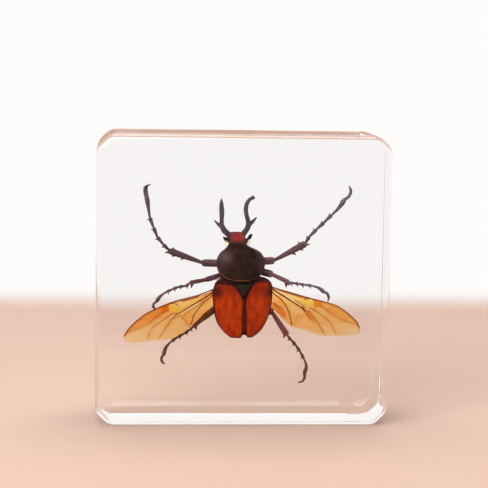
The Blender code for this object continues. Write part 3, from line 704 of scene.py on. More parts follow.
tufts = [tuft((x, y, z), (aside, CHEEK_BACK, lift), CHEEK_HAIRS, CHEEK_SPREAD, length, CHEEK_HALF)
         for x, y, z, aside, lift, length in CHEEK_TUFTS]
head = gathered("head_shell", [head] + tufts)
x, y, z = places_of(head)
shield = between(z, *SHIELD_SPAN) * ramp(-y, *SHIELD_BACK) * spot(x, z, SHIELD_SPOT)
stain(head, "plate", shield)
stain(head, "horn", ramp(z, *HORN_Z) + ramp(np.abs(x - HORNS_MIDDLE), *HORN_OUT))
stain(head, "root", hump((z - ROOT_Z) / ROOT_HALF) * ramp(-y, *ROOT_BACK))
eye = sum(ramp(size - np.hypot(x - ex, z - ez), 0, EYE_SOFT) for ex, ez, size in EYE_LOBES)
for routes, shade in ((FEELER_LEAVES, FEELER_SHADE), (FEELER_STEMS, FEELER_SHADE / 2)):
    for route in routes:
        seen = [(stop[0], stop[2]) for stop in route]
        eye += ramp(shade - near_route(x, z, seen), 0, FEELER_SOFT)
stain(head, "eye", eye)
brow = sum(ramp(EYE_RADIUS + BROW_WIDTH - np.hypot(x - ex, z - ez), 0, BROW_SOFT) for ex, ez in EYES)
brow *= ramp(z, *BROW_Z) * (1 - np.clip(eye, 0, 1)) * ramp(np.abs(x - HORNS_MIDDLE), *BROW_REACH)
stain(head, "bristle", np.maximum(brow, np.arange(len(x)) >= shell_points))
finish, colour = horny("head_and_horns", HEAD_MAROON, HEAD_BROWN, HEAD_PIT_MM)
clouds = finish.span(finish.noise(HORN_CLOUD_MM), *HORN_CLOUDS, 0, 1)
colour = finish.over(colour, HORN_DARK, finish.stained("horn"))
mottled = finish.combined("MULTIPLY", finish.stained("horn"), clouds)
finish.set(Base_Color=finish.layered(finish.over(colour, HORN_PALE, mottled), HEAD_LAYERS))
finish.set(Subsurface_Weight=finish.stained("bristle"), Subsurface_Scale=BRISTLE_DEPTH)
# The pale bristles also give off light: a painted glow that stands in for light shining through the
# hairs.
finish.set(Subsurface_Radius=BRISTLE_SPREAD, Emission_Color=(*BRISTLE_GOLD, 1.0))
finish.set(Emission_Strength=finish.stained("bristle", BRISTLE_PAINTED_GLOW))
mount(head, finish.material, "red_brown_head", "head", crease=80)


# Wing covers.
# Two arched shells of glossy chestnut horn, mottled and darker at their rims, which lift apart at
# the seam. Each is hinged at its shoulder and set a little open over the flight wings.
COVERS = {
    "left": [
        (22.1, -0.3, -3.0, 2.2),
        (22.7, 0.1, -3.8, 2.7),
        (24.0, 0.2, -5.1, 3.4),
        (25.6, 0.2, -6.2, 4.0),
        (27.5, 0.2, -6.9, 4.5),
        (29.8, 0.2, -7.3, 4.8),
        (32.0, 0.2, -7.5, 4.9),
        (33.2, -0.25, -7.6, 4.9),
        (34.5, -1.1, -7.5, 4.7),
        (35.6, -2.0, -7.0, 4.4),
        (36.2, -3.1, -5.6, 4.1),
    ],
    "right": [
        (22.2, 1.5, 3.1, 2.2),
        (22.8, 1.05, 3.9, 2.7),
        (24.0, 0.95, 5.1, 3.4),
        (25.6, 0.9, 6.1, 4.0),
        (27.5, 0.82, 6.9, 4.5),
        (29.8, 0.72, 7.5, 4.8),
        (32.0, 0.68, 7.8, 4.9),
        (33.2, 1.0, 7.8, 4.9),
        (34.5, 1.6, 7.75, 4.7),
        (35.9, 2.4, 7.3, 4.4),
        (36.9, 3.5, 6.2, 4.1),
    ],
}
SEAM_X = 0.45
COVER_SIDE_Y = -0.5
COVER_THICKNESS = 0.5
COVER_FULLNESS = 0.4
COVER_COLUMNS = 44
COVER_STEPS = 12
COVER_END, COVER_PINCHES = 0.12, (0.3, 0.65, 0.92)
SEAM_BEAD, RIM_BEAD = (0.12, 0.22, 0.10), (0.05, 0.2, 0.08)
COVER_SWELLS = [
    (0.72, 34.3, 0.16, 1.1, 0.22),
    (0.5, 24.3, 0.22, 1.0, 0.24),
    (0.42, 33.0, 0.2, 2.2, -0.10),
]
STREAKS, STREAK_RED, STREAK_ORANGE = (1.1, 4.0, (1, 1, 0.3)), 0.38, 0.62
SPOTS, SPOT_SPAN = (1.3, 5.0, (1, 1, 0.5)), (0.5, 0.72, 0, 0.42)
LACQUER_GLOSS, LACQUER_MM = (0.2, 0.36), 0.8
COVER_PIT, COVER_PIT_DEPTH = (0.3, (1, 1, 0.55)), 0.01
COVER_DENT_MM, COVER_DENT_DEPTH = 1.2, 0.06
RIM_INSETS, END_RIM = (0.46, 0.16), 0.1
TOP_SHADE_Z = (31.5, 35.0)
SHOULDER_SPOTS = [(7.0, 34.2, 1.2, 1.2, 1.2)]
# Spot of painted light in the middle of each cover.
PAINTED_LIGHT_SPOT, PAINTED_LIGHT_SHARE = (4.3, 28.3, 2.3, 4.4), 0.55
COVER_RED = (0.55, 0.032, 0.003)
COVER_ORANGE = (0.82, 0.078, 0.003)
# Dark red of the spots, also used for the painted shade at the covers' tops.
COVER_SPOTS_AND_SHADE = (0.28, 0.016, 0.004)
COVER_LAYERS = [
    # Painted shade: the covers darken towards their tops.
    ("top_shade", COVER_SPOTS_AND_SHADE, 0.7),
    ("shoulder", (0.12, 0.010, 0.012), 1.0),
    ("rim", (0.075, 0.012, 0.008), 1.0),
]


def cover_ring(row, thin=0.0):
    """One cross-section of a wing cover, a thin arched strip, pinched by a share at its ends."""
    height, seam, rim, rise = row
    reach = rim - SEAM_X
    start = max(0.0, (seam - SEAM_X) / reach)
    turn = pi / 2 * np.arange(COVER_COLUMNS + 1) / COVER_COLUMNS
    share = start + (1.0 - start) * np.sin(turn)
    lift = np.clip(1.0 - share ** (1 / COVER_FULLNESS), 0, None) ** COVER_FULLNESS
    under = np.maximum(share * (1.0 - COVER_THICKNESS / abs(reach)), start)
    outer = np.column_stack([SEAM_X + share * reach, COVER_SIDE_Y - rise * lift, 0 * share + height])
    inner_y = COVER_SIDE_Y - (rise - COVER_THICKNESS) * lift
    inner = np.column_stack([SEAM_X + under * reach, inner_y, 0 * share + height])
    middle = (outer + inner) / 2
    outer, inner = (middle + (face - middle) * (1 - thin) for face in (outer, inner))
    lifted = swells(share, height, COVER_SWELLS)
    for inward, (inset, half, bead) in ((share - start, SEAM_BEAD), (1.0 - share, RIM_BEAD)):
        lifted += bead * hump((inward * abs(reach) - inset) / half)
    facing = np.gradient(outer, axis=0)[:, [1, 0]] * np.array((1, -1))
    facing /= np.maximum(np.linalg.norm(facing, axis=1, keepdims=True), 1e-9)
    facing *= np.where(facing[:, 1:] > 0, -1, 1)
    outer[:, :2] += facing * (lifted * (1 - thin))[:, None]
    return np.concatenate([outer, inner[::-1]])


lacquer = Finish("chestnut_wing_cover")
streaky = [(STREAK_RED, COVER_RED), (STREAK_ORANGE, COVER_ORANGE)]
bright = lacquer.shades(lacquer.noise(*STREAKS), streaky)
# Painted light: a brighter orange spot in the middle of each cover, where the light falls.
bright = lacquer.layered(bright, [("glow", COVER_ORANGE, PAINTED_LIGHT_SHARE)])
bright = lacquer.over(bright, COVER_SPOTS_AND_SHADE, lacquer.span(lacquer.noise(*SPOTS), *SPOT_SPAN))
bright = lacquer.layered(bright, COVER_LAYERS)
lacquer.set(Base_Color=bright, Roughness=lacquer.patchy(*LACQUER_GLOSS, LACQUER_MM), IOR=SHELL_IOR)
lacquer.relief((lacquer.pits(*COVER_PIT), COVER_PIT_DEPTH),
               (lacquer.noise(COVER_DENT_MM), COVER_DENT_DEPTH))
for side, table in COVERS.items():
    rows = through(table, COVER_STEPS)
    rings = [cover_ring(row) for row in rows]
    for thin in COVER_PINCHES:
        reach = np.array((0, 0, COVER_END * (1 - (1 - thin) ** 2) ** 0.5))
        rings = [cover_ring(rows[0], thin) - reach] + rings + [cover_ring(rows[-1], thin) + reach]
    cover = skin(f"wing_cover_{side}", rings)
    x, y, z = places_of(cover)
    seams, rims = (np.interp(z, rows[:, 0], rows[:, column]) for column in (1, 2))
    inset = np.minimum(np.abs(x - seams), np.abs(rims - x))
    inset = np.minimum(inset, np.minimum(z - rows[0][0], rows[-1][0] - z) + END_RIM)
    out = np.abs(x - SEAM_X)
    stain(cover, "rim", ramp(inset, *RIM_INSETS))
    # Painted shade, darker towards the top of each cover.
    stain(cover, "top_shade", ramp(z, *TOP_SHADE_Z))
    stain(cover, "shoulder", swells(out, z, SHOULDER_SPOTS))
    # Painted light, brighter in the middle of each cover.
    stain(cover, "glow", spot(out, z, PAINTED_LIGHT_SPOT))
    mount(cover, lacquer.material, "wing_cover", f"elytron_{side}")


# Flight wings.
# Two amber membranes thinner than paper, stretched between brown veins, with the strong leading
# rib at the front. They were drawn out from under the covers and dried flat.
WING_Y = -0.1
WING_SLOPE = 0.045
WING_HALF = 0.035
WING_DIP, DIP_REACH = 0.35, (8.6, 7.6)
WING_COLUMNS = 300
WING_ROWS = 110
TIP_BULGE, TIP_SPAN, TIP_EASE = 0.45, (0.82, 1.0), 1.6
FOLDS, FOLD_DEPTH, FOLD_SPAN = 7, 0.06, (8.5, 31.0, 5.5, 6.0)
VEIN_SOFT, VEIN_SHADE = 0.1, 1.1
VEIN_FOOT, VEIN_ROUND, VEIN_TALLEST = 1.25, 0.7, 0.12
VEIN_PALING, PALING_REACH = 0.35, (15, 24)
HEM_WIDTH, HEM_REACH, HEM_FADES = 0.9, (13, 18), (0.6, 0.5, 0.5)
WING_CLARITY, WING_IOR = 0.99, 1.05
WING_GLOSS, WING_GLOSS_MM = (0.1, 0.25), 0.5
CRINKLES, CRINKLE_DEPTH = (0.35, 2.0, (0.3, 1, 1)), 0.01
CLOUDS, CLOUD_TONE = (1.3, 4.0, (0.4, 1, 1)), 0.12
TONE, VEIN_TONE = 0.40, 0.16
TONE_REAR, REAR_REACH, REAR_Z = 0.13, (12.0, 20.0), (28.0, 24.0)
TONE_ROOT, ROOT_REACH = 0.14, (13.5, 8.5)
TONE_TIP, TIP_REACH, TIP_Z = 0.20, (-1.5, 4.0), (26.5, 24.0)
TONE_FORE, FORE_REACH, FORE_SHARE = 0.24, (19.0, 28.0), 0.9
FILLS = [("patches", 1.0, 0.6), ("ruddy", 0.52, 0.35)]
OCHRE_TONE, OCHRE_SHARE, OCHRE_SOFT = 0.86, 0.9, 0.4
LINE_PITCH, LINE_SWAY, LINE_TONE = 9.0, 0.9, 0.05
COSTAL_SOFT = 0.3
WINDOW_SHARE, WINDOW_SOFT = 0.55, 0.25
GLASS_SHARE, GLASS_SOFT = 0.45, 0.12
LEADING_SOFT, BAND_SOFT, PALE_SOFT = 0.2, 0.12, 0.07
WING_AMBER = [
    (0.0, (1.0, 0.86, 0.55)),
    (0.25, (1.0, 0.76, 0.36)),
    (0.5, (1.0, 0.61, 0.18)),
    (0.75, (0.95, 0.40, 0.075)),
    (1.0, (0.82, 0.22, 0.010)),
]
WING_LAYERS = [
    ("window", (1.0, 0.69, 0.09), 0.85),
    ("band", (0.42, 0.065, 0.012), 0.9),
    ("pale", (1.0, 0.88, 0.55), 0.8),
    ("vein", (0.15, 0.028, 0.010), 1.0),
]
LEADING_WIDTHS = (0.52, 0.36)
LEADING_BAND, LEADING_SHARE = 0.9, 0.8
STREAK_POINTS, VEIN_POINTS, EDGE_POINTS = 16, 30, 40
WINGS = {
    "left": {
        "leading": [(-7.45, 34.65), (-10.7, 33.4), (-12.1, 32.9), (-16.2, 31.85), (-19.4, 30.8),
                    (-22.7, 29.35), (-25.4, 27.9), (-28.0, 25.75), (-29.8, 23.65), (-30.35, 22.6)],
        "trailing": [(-7.45, 29.4), (-9.6, 27.8), (-12.3, 25.6), (-14.9, 23.3), (-17.0, 22.1),
                     (-19.0, 21.4), (-23.7, 21.0), (-27.2, 20.6), (-28.7, 20.55), (-30.15, 21.0)],
        "veins": [
            (0.36, 0.28, 1.0, [(-7.6, 33.5), (-10.3, 31.9), (-13.1, 30.2), (-16.2, 28.3)]),
            (0.16, 0.14, 0.9, [(-9.8, 31.6), (-11.6, 30.1), (-13.4, 28.9), (-15.6, 27.2)]),
            (0.28, 0.20, 1.0, [(-7.6, 32.9), (-9.8, 31.1), (-11.2, 29.4), (-12.3, 27.9),
                               (-12.8, 26.4), (-13.3, 24.9)]),
            (0.20, 0.15, 0.9, [(-17.9, 28.2), (-20.4, 26.4), (-23.2, 24.3), (-23.9, 23.0),
                               (-24.2, 21.6)]),
            (0.22, 0.15, 1.0, [(-16.8, 28.0), (-18.2, 26.6), (-19.7, 24.4), (-21.3, 21.8)]),
            (0.17, 0.14, 0.75, [(-19.7, 28.8), (-23.6, 25.8), (-26.0, 24.3), (-29.4, 23.0)]),
            (0.14, 0.12, 0.8, [(-15.6, 27.1), (-14.5, 26.1), (-13.7, 24.6)]),
            (0.13, 0.10, 0.5, [(-18.2, 26.6), (-16.9, 27.2), (-15.5, 27.9)]),
            (0.24, 0.18, 0.9, [(-16.6, 30.3), (-17.4, 30.75), (-18.6, 30.8)]),
            (0.36, 0.24, 0.8, [(-17.3, 28.15), (-16.4, 28.2), (-15.8, 28.5)]),
        ],
        "pale": [(0.22, [(-8.1, 33.9), (-9.8, 33.3), (-11.0, 32.6)]),
                 (0.20, [(-11.2, 30.8), (-13.8, 29.5), (-15.8, 28.5)]),
                 (0.14, [(-17.3, 27.9), (-19.7, 26.2), (-21.5, 25.0)])],
        "bands": [(0.95, [(-7.6, 34.1), (-8.5, 33.85), (-10.7, 33.05), (-13.1, 32.3), (-15.3, 31.7)]),
                  (0.50, [(-15.3, 31.8), (-17.5, 31.2), (-20.5, 30.1)])],
        "costal": [(-18.9, 30.8), (-19.5, 28.8), (-23.6, 25.8), (-26.0, 24.3), (-29.4, 23.0),
                   (-30.6, 22.4), (-29.0, 25.4), (-25.9, 28.1), (-21.2, 30.4)],
        "patches": [[(-21.2, 29.9), (-18.9, 30.6), (-18.7, 28.8), (-20.7, 28.4)]],
        "ruddy": [[(-15.4, 27.2), (-13.2, 28.1), (-12.3, 28.3), (-13.0, 26.4), (-13.5, 24.8),
                   (-14.3, 25.9)]],
        "window": [(-18.9, 30.5), (-17.5, 30.8), (-15.5, 30.6), (-11.2, 31.7), (-11.1, 31.2),
                   (-13.8, 29.8), (-16.4, 28.4), (-17.9, 28.4), (-18.8, 28.9)],
        "glass": [(-18.8, 30.3), (-17.6, 30.4), (-16.4, 30.0), (-16.0, 29.1), (-17.0, 28.5),
                  (-18.6, 28.9)],
        "ochre": [],
        "fore": 0.84,
        "tip": 24.0,
    },
    "right": {
        "leading": [(7.6, 35.45), (9.9, 34.7), (12.6, 33.95), (17.6, 32.55), (21.8, 31.5),
                    (24.7, 30.6), (27.0, 29.2), (28.95, 27.6), (30.2, 26.3), (30.8, 25.1)],
        "trailing": [(7.6, 30.2), (9.3, 28.3), (11.4, 26.3), (13.1, 24.95), (16.5, 23.9),
                     (20.4, 22.6), (25.0, 22.45), (27.6, 22.6), (29.2, 22.75), (30.5, 23.15)],
        "veins": [
            (0.36, 0.32, 1.0, [(8.0, 34.6), (11.1, 32.7), (12.9, 31.5), (15.0, 30.2),
                               (16.5, 29.0)]),
            (0.18, 0.16, 0.95, [(13.7, 31.8), (15.2, 30.9), (16.5, 29.8)]),
            (0.28, 0.20, 1.0, [(7.8, 33.9), (9.9, 32.2), (11.1, 30.8), (12.1, 29.1),
                               (12.6, 27.6), (13.1, 25.3)]),
            (0.20, 0.16, 0.95, [(17.6, 29.9), (19.5, 28.9), (21.6, 27.4), (23.2, 25.9),
                                (24.1, 24.4), (24.6, 23.0)]),
            (0.22, 0.16, 1.0, [(17.3, 29.1), (18.8, 27.4), (20.0, 25.7), (21.1, 23.9),
                               (21.9, 22.7)]),
            (0.17, 0.14, 0.85, [(20.6, 30.3), (22.9, 28.4), (25.2, 27.1), (28.0, 26.0),
                                (30.4, 25.3)]),
            (0.13, 0.10, 0.45, [(15.1, 28.1), (14.0, 26.4)]),
            (0.12, 0.10, 0.35, [(15.8, 27.9), (15.1, 26.6)]),
            (0.26, 0.22, 0.9, [(16.3, 31.9), (17.2, 32.3), (18.2, 32.4)]),
            (0.38, 0.30, 0.8, [(15.8, 30.0), (16.4, 29.3), (17.0, 28.7)]),
            (0.32, 0.20, 0.8, [(8.2, 31.1), (9.2, 30.1), (10.4, 29.4)]),
        ],
        "pale": [(0.20, [(8.6, 34.6), (11.0, 33.2), (12.9, 32.0), (15.8, 30.3)]),
                 (0.18, [(15.2, 29.1), (16.9, 27.8)]),
                 (0.20, [(8.4, 33.8), (9.6, 32.9)]),
                 (0.3, [(17.9, 32.1), (18.3, 31.6)]),
                 # The last short pale streak, by the root, is a painted highlight.
                 (0.3, [(7.9, 31.9), (8.2, 31.2)])],
        "bands": [(0.55, [(8.4, 35.0), (11.4, 33.95), (14.2, 33.1), (15.7, 32.6)]),
                  (0.30, [(15.7, 32.6), (18.5, 32.0), (21.0, 31.4)])],
        "costal": [(18.6, 32.0), (18.8, 30.6), (20.6, 30.1), (22.9, 28.4), (25.2, 27.1),
                   (28.0, 26.0), (30.4, 25.3), (31.6, 24.4), (30.9, 26.2), (27.9, 29.5), (22.0, 31.8)],
        "patches": [[(18.7, 31.4), (20.6, 31.2), (21.0, 30.2), (18.9, 30.0)],
                    [(16.3, 29.3), (17.4, 28.6), (18.9, 26.2), (17.6, 26.9), (16.4, 28.2)]],
        "ruddy": [],
        "window": [(12.9, 32.8), (15.2, 32.6), (16.5, 31.8), (18.2, 32.3), (18.7, 31.6),
                   (18.8, 30.2), (17.8, 30.0), (16.5, 30.4), (14.8, 31.4)],
        "glass": [(15.9, 31.9), (17.0, 32.1), (18.5, 31.9), (18.7, 30.3), (17.4, 30.2),
                  (16.2, 30.7)],
        "ochre": [(8.0, 31.2), (10.6, 29.9), (11.5, 28.3), (11.6, 26.8), (10.2, 27.6), (8.0, 30.0)],
        "fore": 0.74,
        "tip": 26.0,
    },
}


def inside(x, z, outline, soft):
    """1 inside an outline of x, z and 0 outside it, with a soft edge."""
    if not outline:
        return np.zeros_like(x)
    closed = list(outline) + [outline[0]]
    crossings = np.zeros(np.shape(x), dtype=int)
    for (x0, z0), (x1, z1) in zip(closed, closed[1:]):
        spans = (z0 > z) != (z1 > z)
        with np.errstate(divide="ignore", invalid="ignore"):
            crossings += spans & (x < (x1 - x0) * (z - z0) / (z1 - z0) + x0)
    distance = near_route(x, z, closed) * np.where(crossings % 2 == 1, 1, -1)
    return ramp(distance, -soft, soft)


def spaced(route, count):
    """A smooth route's points, evenly spaced along it."""
    route = through(route, 12)
    run = np.concatenate([[0], np.cumsum(np.linalg.norm(np.diff(route, axis=0), axis=1))])
    even = np.linspace(0, run[-1], count)
    return np.column_stack([np.interp(even, run, route[:, k]) for k in range(route.shape[1])])


def vein_strength(x, z, wing):
    """How strongly each point lies in a vein, how far it stands out there, and its shading."""
    strength, height, shading = np.zeros_like(x), np.zeros_like(x), np.zeros_like(x)
    for start, end, depth, route in wing["veins"] + [(*LEADING_WIDTHS, 1.0, wing["leading"])]:
        route = spaced(route, VEIN_POINTS)
        middle = near_route(x, z, route)
        length = np.hypot(*(route[-1] - route[0]))
        share = np.clip(np.hypot(x - route[0][0], z - route[0][1]) / length, 0, 1)
        half = (start + (end - start) * share) / 2
        strength = np.maximum(strength, depth * ramp(half + VEIN_SOFT / 2 - middle, 0, VEIN_SOFT))
        shading = np.maximum(shading, depth * ramp(VEIN_SHADE - middle, 0, VEIN_SHADE))
        rise = np.sqrt(np.clip(1 - (middle / (half * VEIN_FOOT)) ** 2, 0, 1)) * half * VEIN_ROUND
        height = np.maximum(height, np.minimum(rise, VEIN_TALLEST))
    return strength, height, shading


def streaks(x, z, routes, soft):
    """How strongly each point lies in soft streaks of a width along routes."""
    strength = np.zeros_like(x)
    for width, route in routes:
        distance = near_route(x, z, spaced(route, STREAK_POINTS))
        strength = np.maximum(strength, ramp(width / 2 + soft - distance, 0, 2 * soft))
    return strength


def wing_tone(x, z, wing, shading):
    """How deep the amber is at each point, from pale at the tip to red-brown in the patches."""
    reach = np.abs(x)
    tone = TONE - TONE_REAR * ramp(reach, *REAR_REACH) * ramp(z, *REAR_Z)
    tone += TONE_ROOT * ramp(reach, *ROOT_REACH)
    tone -= TONE_TIP * ramp(reach - wing["tip"], *TIP_REACH) * ramp(z, *TIP_Z)
    fore = wing["fore"] - TONE_FORE * ramp(reach, *FORE_REACH)
    tone += (fore - tone) * inside(x, z, wing["costal"], COSTAL_SOFT) * FORE_SHARE
    for area, depth, soft in FILLS:
        for outline in wing[area]:
            tone += (depth - tone) * inside(x, z, outline, soft)
    return tone + VEIN_TONE * shading


membrane = Finish("amber_wing_membrane")
cloudy = membrane.patchy(-CLOUD_TONE, CLOUD_TONE, *CLOUDS)
amber = membrane.shades(membrane.combined("ADD", membrane.stained("shade"), cloudy), WING_AMBER)
membrane.set(Base_Color=membrane.layered(amber, WING_LAYERS))
membrane.set(Transmission_Weight=WING_CLARITY, IOR=WING_IOR)
membrane.set(Roughness=membrane.patchy(*WING_GLOSS, WING_GLOSS_MM))
membrane.relief((membrane.noise(*CRINKLES), CRINKLE_DEPTH))
for side, wing in WINGS.items():
    front = spaced(wing["leading"], WING_COLUMNS)
    back = spaced(wing["trailing"], WING_COLUMNS)
    share = np.linspace(0, 1, WING_ROWS)[None, :, None]
    sheet = front[:, None, :] * (1 - share) + back[:, None, :] * share
    outward = front[-1] + back[-1] - front[-3] - back[-3]
    outward /= np.linalg.norm(outward)
    tip = ramp(np.linspace(0, 1, WING_COLUMNS), *TIP_SPAN) ** TIP_EASE
    sheet += outward * (TIP_BULGE * 4 * share * (1 - share)) * tip[:, None, None]
    x, z = sheet[:, :, 0], sheet[:, :, 1]
    reach = np.abs(x)
    fold = np.sin(FOLDS * pi * share[0, :, 0])[None, :] * between(reach, *FOLD_SPAN)
    middle_y = WING_Y - WING_SLOPE * reach + FOLD_DEPTH * fold + WING_DIP * ramp(reach, *DIP_REACH)
    half = WING_HALF + vein_strength(x, z, wing)[1]
    upper = np.stack([x, middle_y - half, z], axis=2)
    lower = np.stack([x, middle_y + half, z], axis=2)
    wing_body = skin(f"flight_wing_{side}", np.concatenate([upper, lower[:, ::-1]], axis=1))
    x, y, z = places_of(wing_body)
    reach = np.abs(x)
    from_front, from_back = (near_route(x, z, spaced(wing[edge], EDGE_POINTS))
                             for edge in ("leading", "trailing"))
    hem = ramp(HEM_WIDTH - from_back, 0, HEM_WIDTH) * ramp(reach, *HEM_REACH)
    vein_fade, shade_fade, hem_pale = HEM_FADES
    paling = (1 - vein_fade * hem) * (1 - VEIN_PALING * ramp(reach, *PALING_REACH))
    strength, _, shading = vein_strength(x, z, wing)
    stain(wing_body, "vein", strength * paling)
    lines = np.sin(LINE_PITCH * from_front + np.sin(LINE_SWAY * x))
    lines *= inside(x, z, wing["costal"], COSTAL_SOFT)
    shade = wing_tone(x, z, wing, shading) * (1 - shade_fade * hem) + LINE_TONE * lines
    ochre = OCHRE_SHARE * inside(x, z, wing["ochre"], OCHRE_SOFT)
    stain(wing_body, "shade", shade + (OCHRE_TONE - shade) * ochre)
    window = WINDOW_SHARE * inside(x, z, wing["window"], WINDOW_SOFT)
    stain(wing_body, "window", window + GLASS_SHARE * inside(x, z, wing["glass"], GLASS_SOFT))
    edge_band = LEADING_SHARE * streaks(x, z, [(LEADING_BAND, wing["leading"])], LEADING_SOFT)
    stain(wing_body, "band", np.maximum(streaks(x, z, wing["bands"], BAND_SOFT), edge_band))
    stain(wing_body, "pale", streaks(x, z, wing["pale"], PALE_SOFT) + hem_pale * hem)
    mount(wing_body, membrane.material, "wing_membrane", f"hind_wing_{side}", crease=80)


# Legs.
# Six thin legs of dark purplish shell: thigh, toothed shin, five foot joints and a pair of hooked
# claws, hinged end to end. They come out of the coxae underneath and were spread while soft.
LEGS = {
    "front_left": {
        "hip": (-2.2, 3.5, 40.9),
        "knee": (-10.2, 1.1, 41.3),
        "heel": (-18.7, 44.3),
        "foot": [(-20.4, 45.9), (-22.0, 47.9), (-23.0, 50.3), (-24.0, 52.9), (-24.9, 58.4)],
        "bow": (-24.45, 55.7),
        "claw": [(-25.15, 59.5), (-25.1, 60.9), (-24.1, 61.55)],
        "spurs": [((-18.2, 44.1), (-20.1, 43.9)), ((-17.1, 43.6), (-18.2, 42.8)),
                  ((-14.8, 42.9), (-15.9, 42.0)), ((-17.5, 44.1), (-17.9, 45.2))],
        "half_widths": (0.97, 0.46, 0.88),
        "slim": 0.95,
        "teeth": 1,
        "claws_apart": 0.22,
        "tones": [(0.26, 0.145, 0.18), (0.15, 0.082, 0.10), (0.19, 0.14, 0.16)],
        "toes_darker": 0.85,
    },
    "front_right": {
        "hip": (1.6, 3.5, 41.4),
        "knee": (8.2, 1.1, 42.0),
        "heel": (16.3, 46.4),
        "foot": [(17.3, 48.2), (19.1, 50.1), (21.1, 52.0), (23.1, 54.0), (26.4, 58.1)],
        "bow": (24.95, 55.9),
        "claw": [(27.4, 58.8), (28.0, 60.2), (27.5, 61.6)],
        "spurs": [((15.6, 46.1), (17.6, 46.3)), ((14.7, 45.4), (15.9, 44.7)),
                  ((13.0, 44.2), (14.0, 43.5)), ((15.0, 45.8), (14.6, 47.0))],
        "half_widths": (0.99, 0.44, 0.9),
        "slim": 0.97,
        "teeth": 1,
        "claws_apart": 0.1,
        "tones": [(0.33, 0.14, 0.18), (0.22, 0.135, 0.155), (0.25, 0.2, 0.22)],
        "toes_darker": 0.1,
    },
    "middle_left": {
        "hip": (-2.2, 4.3, 38.8),
        "knee": (-9.3, 1.1, 36.9),
        "heel": (-13.3, 36.1),
        "foot": [(-14.5, 35.2), (-16.0, 35.1), (-17.7, 34.5), (-19.4, 33.7), (-22.1, 31.1)],
        "bow": (-21.0, 32.6),
        "claw": [(-22.8, 30.5), (-22.9, 29.7), (-22.2, 28.9)],
        "spurs": [((-12.9, 36.0), (-13.1, 34.7))],
        "half_widths": (0.7, 0.5, 0.56),
        "slim": 0.8,
        "teeth": 1,
        "claws_apart": 0.06,
        "tones": [(0.21, 0.105, 0.132), (0.215, 0.08, 0.082), (0.25, 0.165, 0.185)],
        "toes_darker": 0.4,
    },
    "middle_right": {
        "hip": (2.2, 4.3, 39.6),
        "knee": (7.8, 1.1, 38.4),
        "heel": (12.1, 36.4),
        "foot": [(13.2, 36.1), (14.7, 36.0), (16.2, 35.7), (18.1, 35.5), (21.5, 33.8)],
        "bow": (20.1, 34.9),
        "claw": [(22.3, 33.5), (22.8, 32.4), (22.6, 31.3)],
        "spurs": [((11.6, 36.4), (11.6, 34.9)), ((12.0, 36.2), (12.5, 35.5))],
        "half_widths": (0.95, 0.5, 0.62),
        "slim": 0.78,
        "teeth": -1,
        "claws_apart": 0.1,
        "tones": [(0.215, 0.122, 0.135), (0.33, 0.165, 0.2), (0.27, 0.2, 0.235)],
        "toes_darker": 0.1,
    },
    "hind_left": {
        "hip": (-2.6, 4.9, 32.3),
        "knee": (-9.8, 1.1, 26.9),
        "heel": (-12.4, 24.6),
        "foot": [(-13.2, 23.9), (-14.5, 22.9), (-16.3, 21.9), (-17.9, 20.9), (-20.1, 17.1)],
        "bow": (-19.5, 19.1),
        "claw": [(-20.6, 16.4), (-20.5, 15.3), (-19.8, 14.7)],
        "spurs": [((-12.0, 24.8), (-11.6, 23.7))],
        "half_widths": (0.86, 0.7, 0.52),
        "slim": 0.82,
        "teeth": 1,
        "claws_apart": 0.06,
        "tones": [(0.28, 0.125, 0.065), (0.22, 0.085, 0.04), (0.145, 0.062, 0.04)],
        "toes_darker": 0.1,
    },
    "hind_right": {
        "hip": (2.9, 4.9, 31.2),
        "knee": (8.1, 2.5, 28.3),
        "heel": (12.0, 22.5),
        "foot": [(12.9, 21.4), (14.2, 20.0), (15.4, 18.3), (16.5, 16.4), (16.8, 12.3)],
        "bow": (17.3, 14.2),
        "claw": [(16.9, 11.3), (16.4, 10.2), (15.3, 9.9)],
        "spurs": [((11.6, 22.8), (11.1, 21.5))],
        "half_widths": (1.0, 0.5, 0.78),
        "slim": 0.8,
        "teeth": -1,
        "claws_apart": 0.1,
        "tones": [(0.28, 0.12, 0.13), (0.32, 0.105, 0.09), (0.125, 0.057, 0.047)],
        "toes_darker": 0.0,
    },
}
HEEL_Y = 1.3
FOOT_Y = 1.2
THIGH_SHAPE = [(0.0, 0.7), (0.15, 0.93), (0.5, 1.0), (0.85, 1.0), (0.95, 0.97), (1.0, 0.86)]
SHIN_SHAPE = [(0.03, 0.0), (0.15, 0.14), (0.5, 0.66), (0.85, 0.98), (0.96, 1.0), (1.0, 0.8)]
TOE_SHAPE = [(0.02, 0.32), (0.2, 0.35), (0.5, 0.42), (0.82, 0.56), (0.93, 0.54), (1.0, 0.34)]
LAST_TOE_SHAPE = [(0.02, 0.32), (0.2, 0.35), (0.5, 0.47), (0.78, 0.66), (0.93, 0.66), (1.0, 0.5)]
THIGH_FLAT, SHIN_FLAT = 0.85, 0.8
THIGH_BLUNT, SHIN_BLUNT = (1.0, 0.2), (1.0, 0.3)
LEG_SIDES, LEG_POINTS = 16, 33
CLAW_WIDTHS = [0.36, 0.4, 0.34, 0.1]
CLAW_SPREAD = [0.06, 0.2, 0.38, 0.38]
CLAW_RISE = 0.3
SPUR_WIDTHS = [0.52, 0.34, 0.08]
TOOTH_WIDTHS = [0.42, 0.08]
TOOTH_ROOT, TOOTH_REACH, TOOTH_LEAN = 0.84, 0.8, 0.28
THORN_SIDES, TOOTH_SIDES = 10, 8
SHIN_OUT, FOOT_OUT = (1.1, 0.9), (0.95, 1.3)
LAST_TOE_OUT = (0.8, 1.6)
MOTTLE_MM, MOTTLE_DARK, MOTTLE_SPAN = 1.4, 0.7, (0.35, 0.7)
LEG_GLOSS, LEG_GLOSS_MM = (0.3, 0.5), 0.5
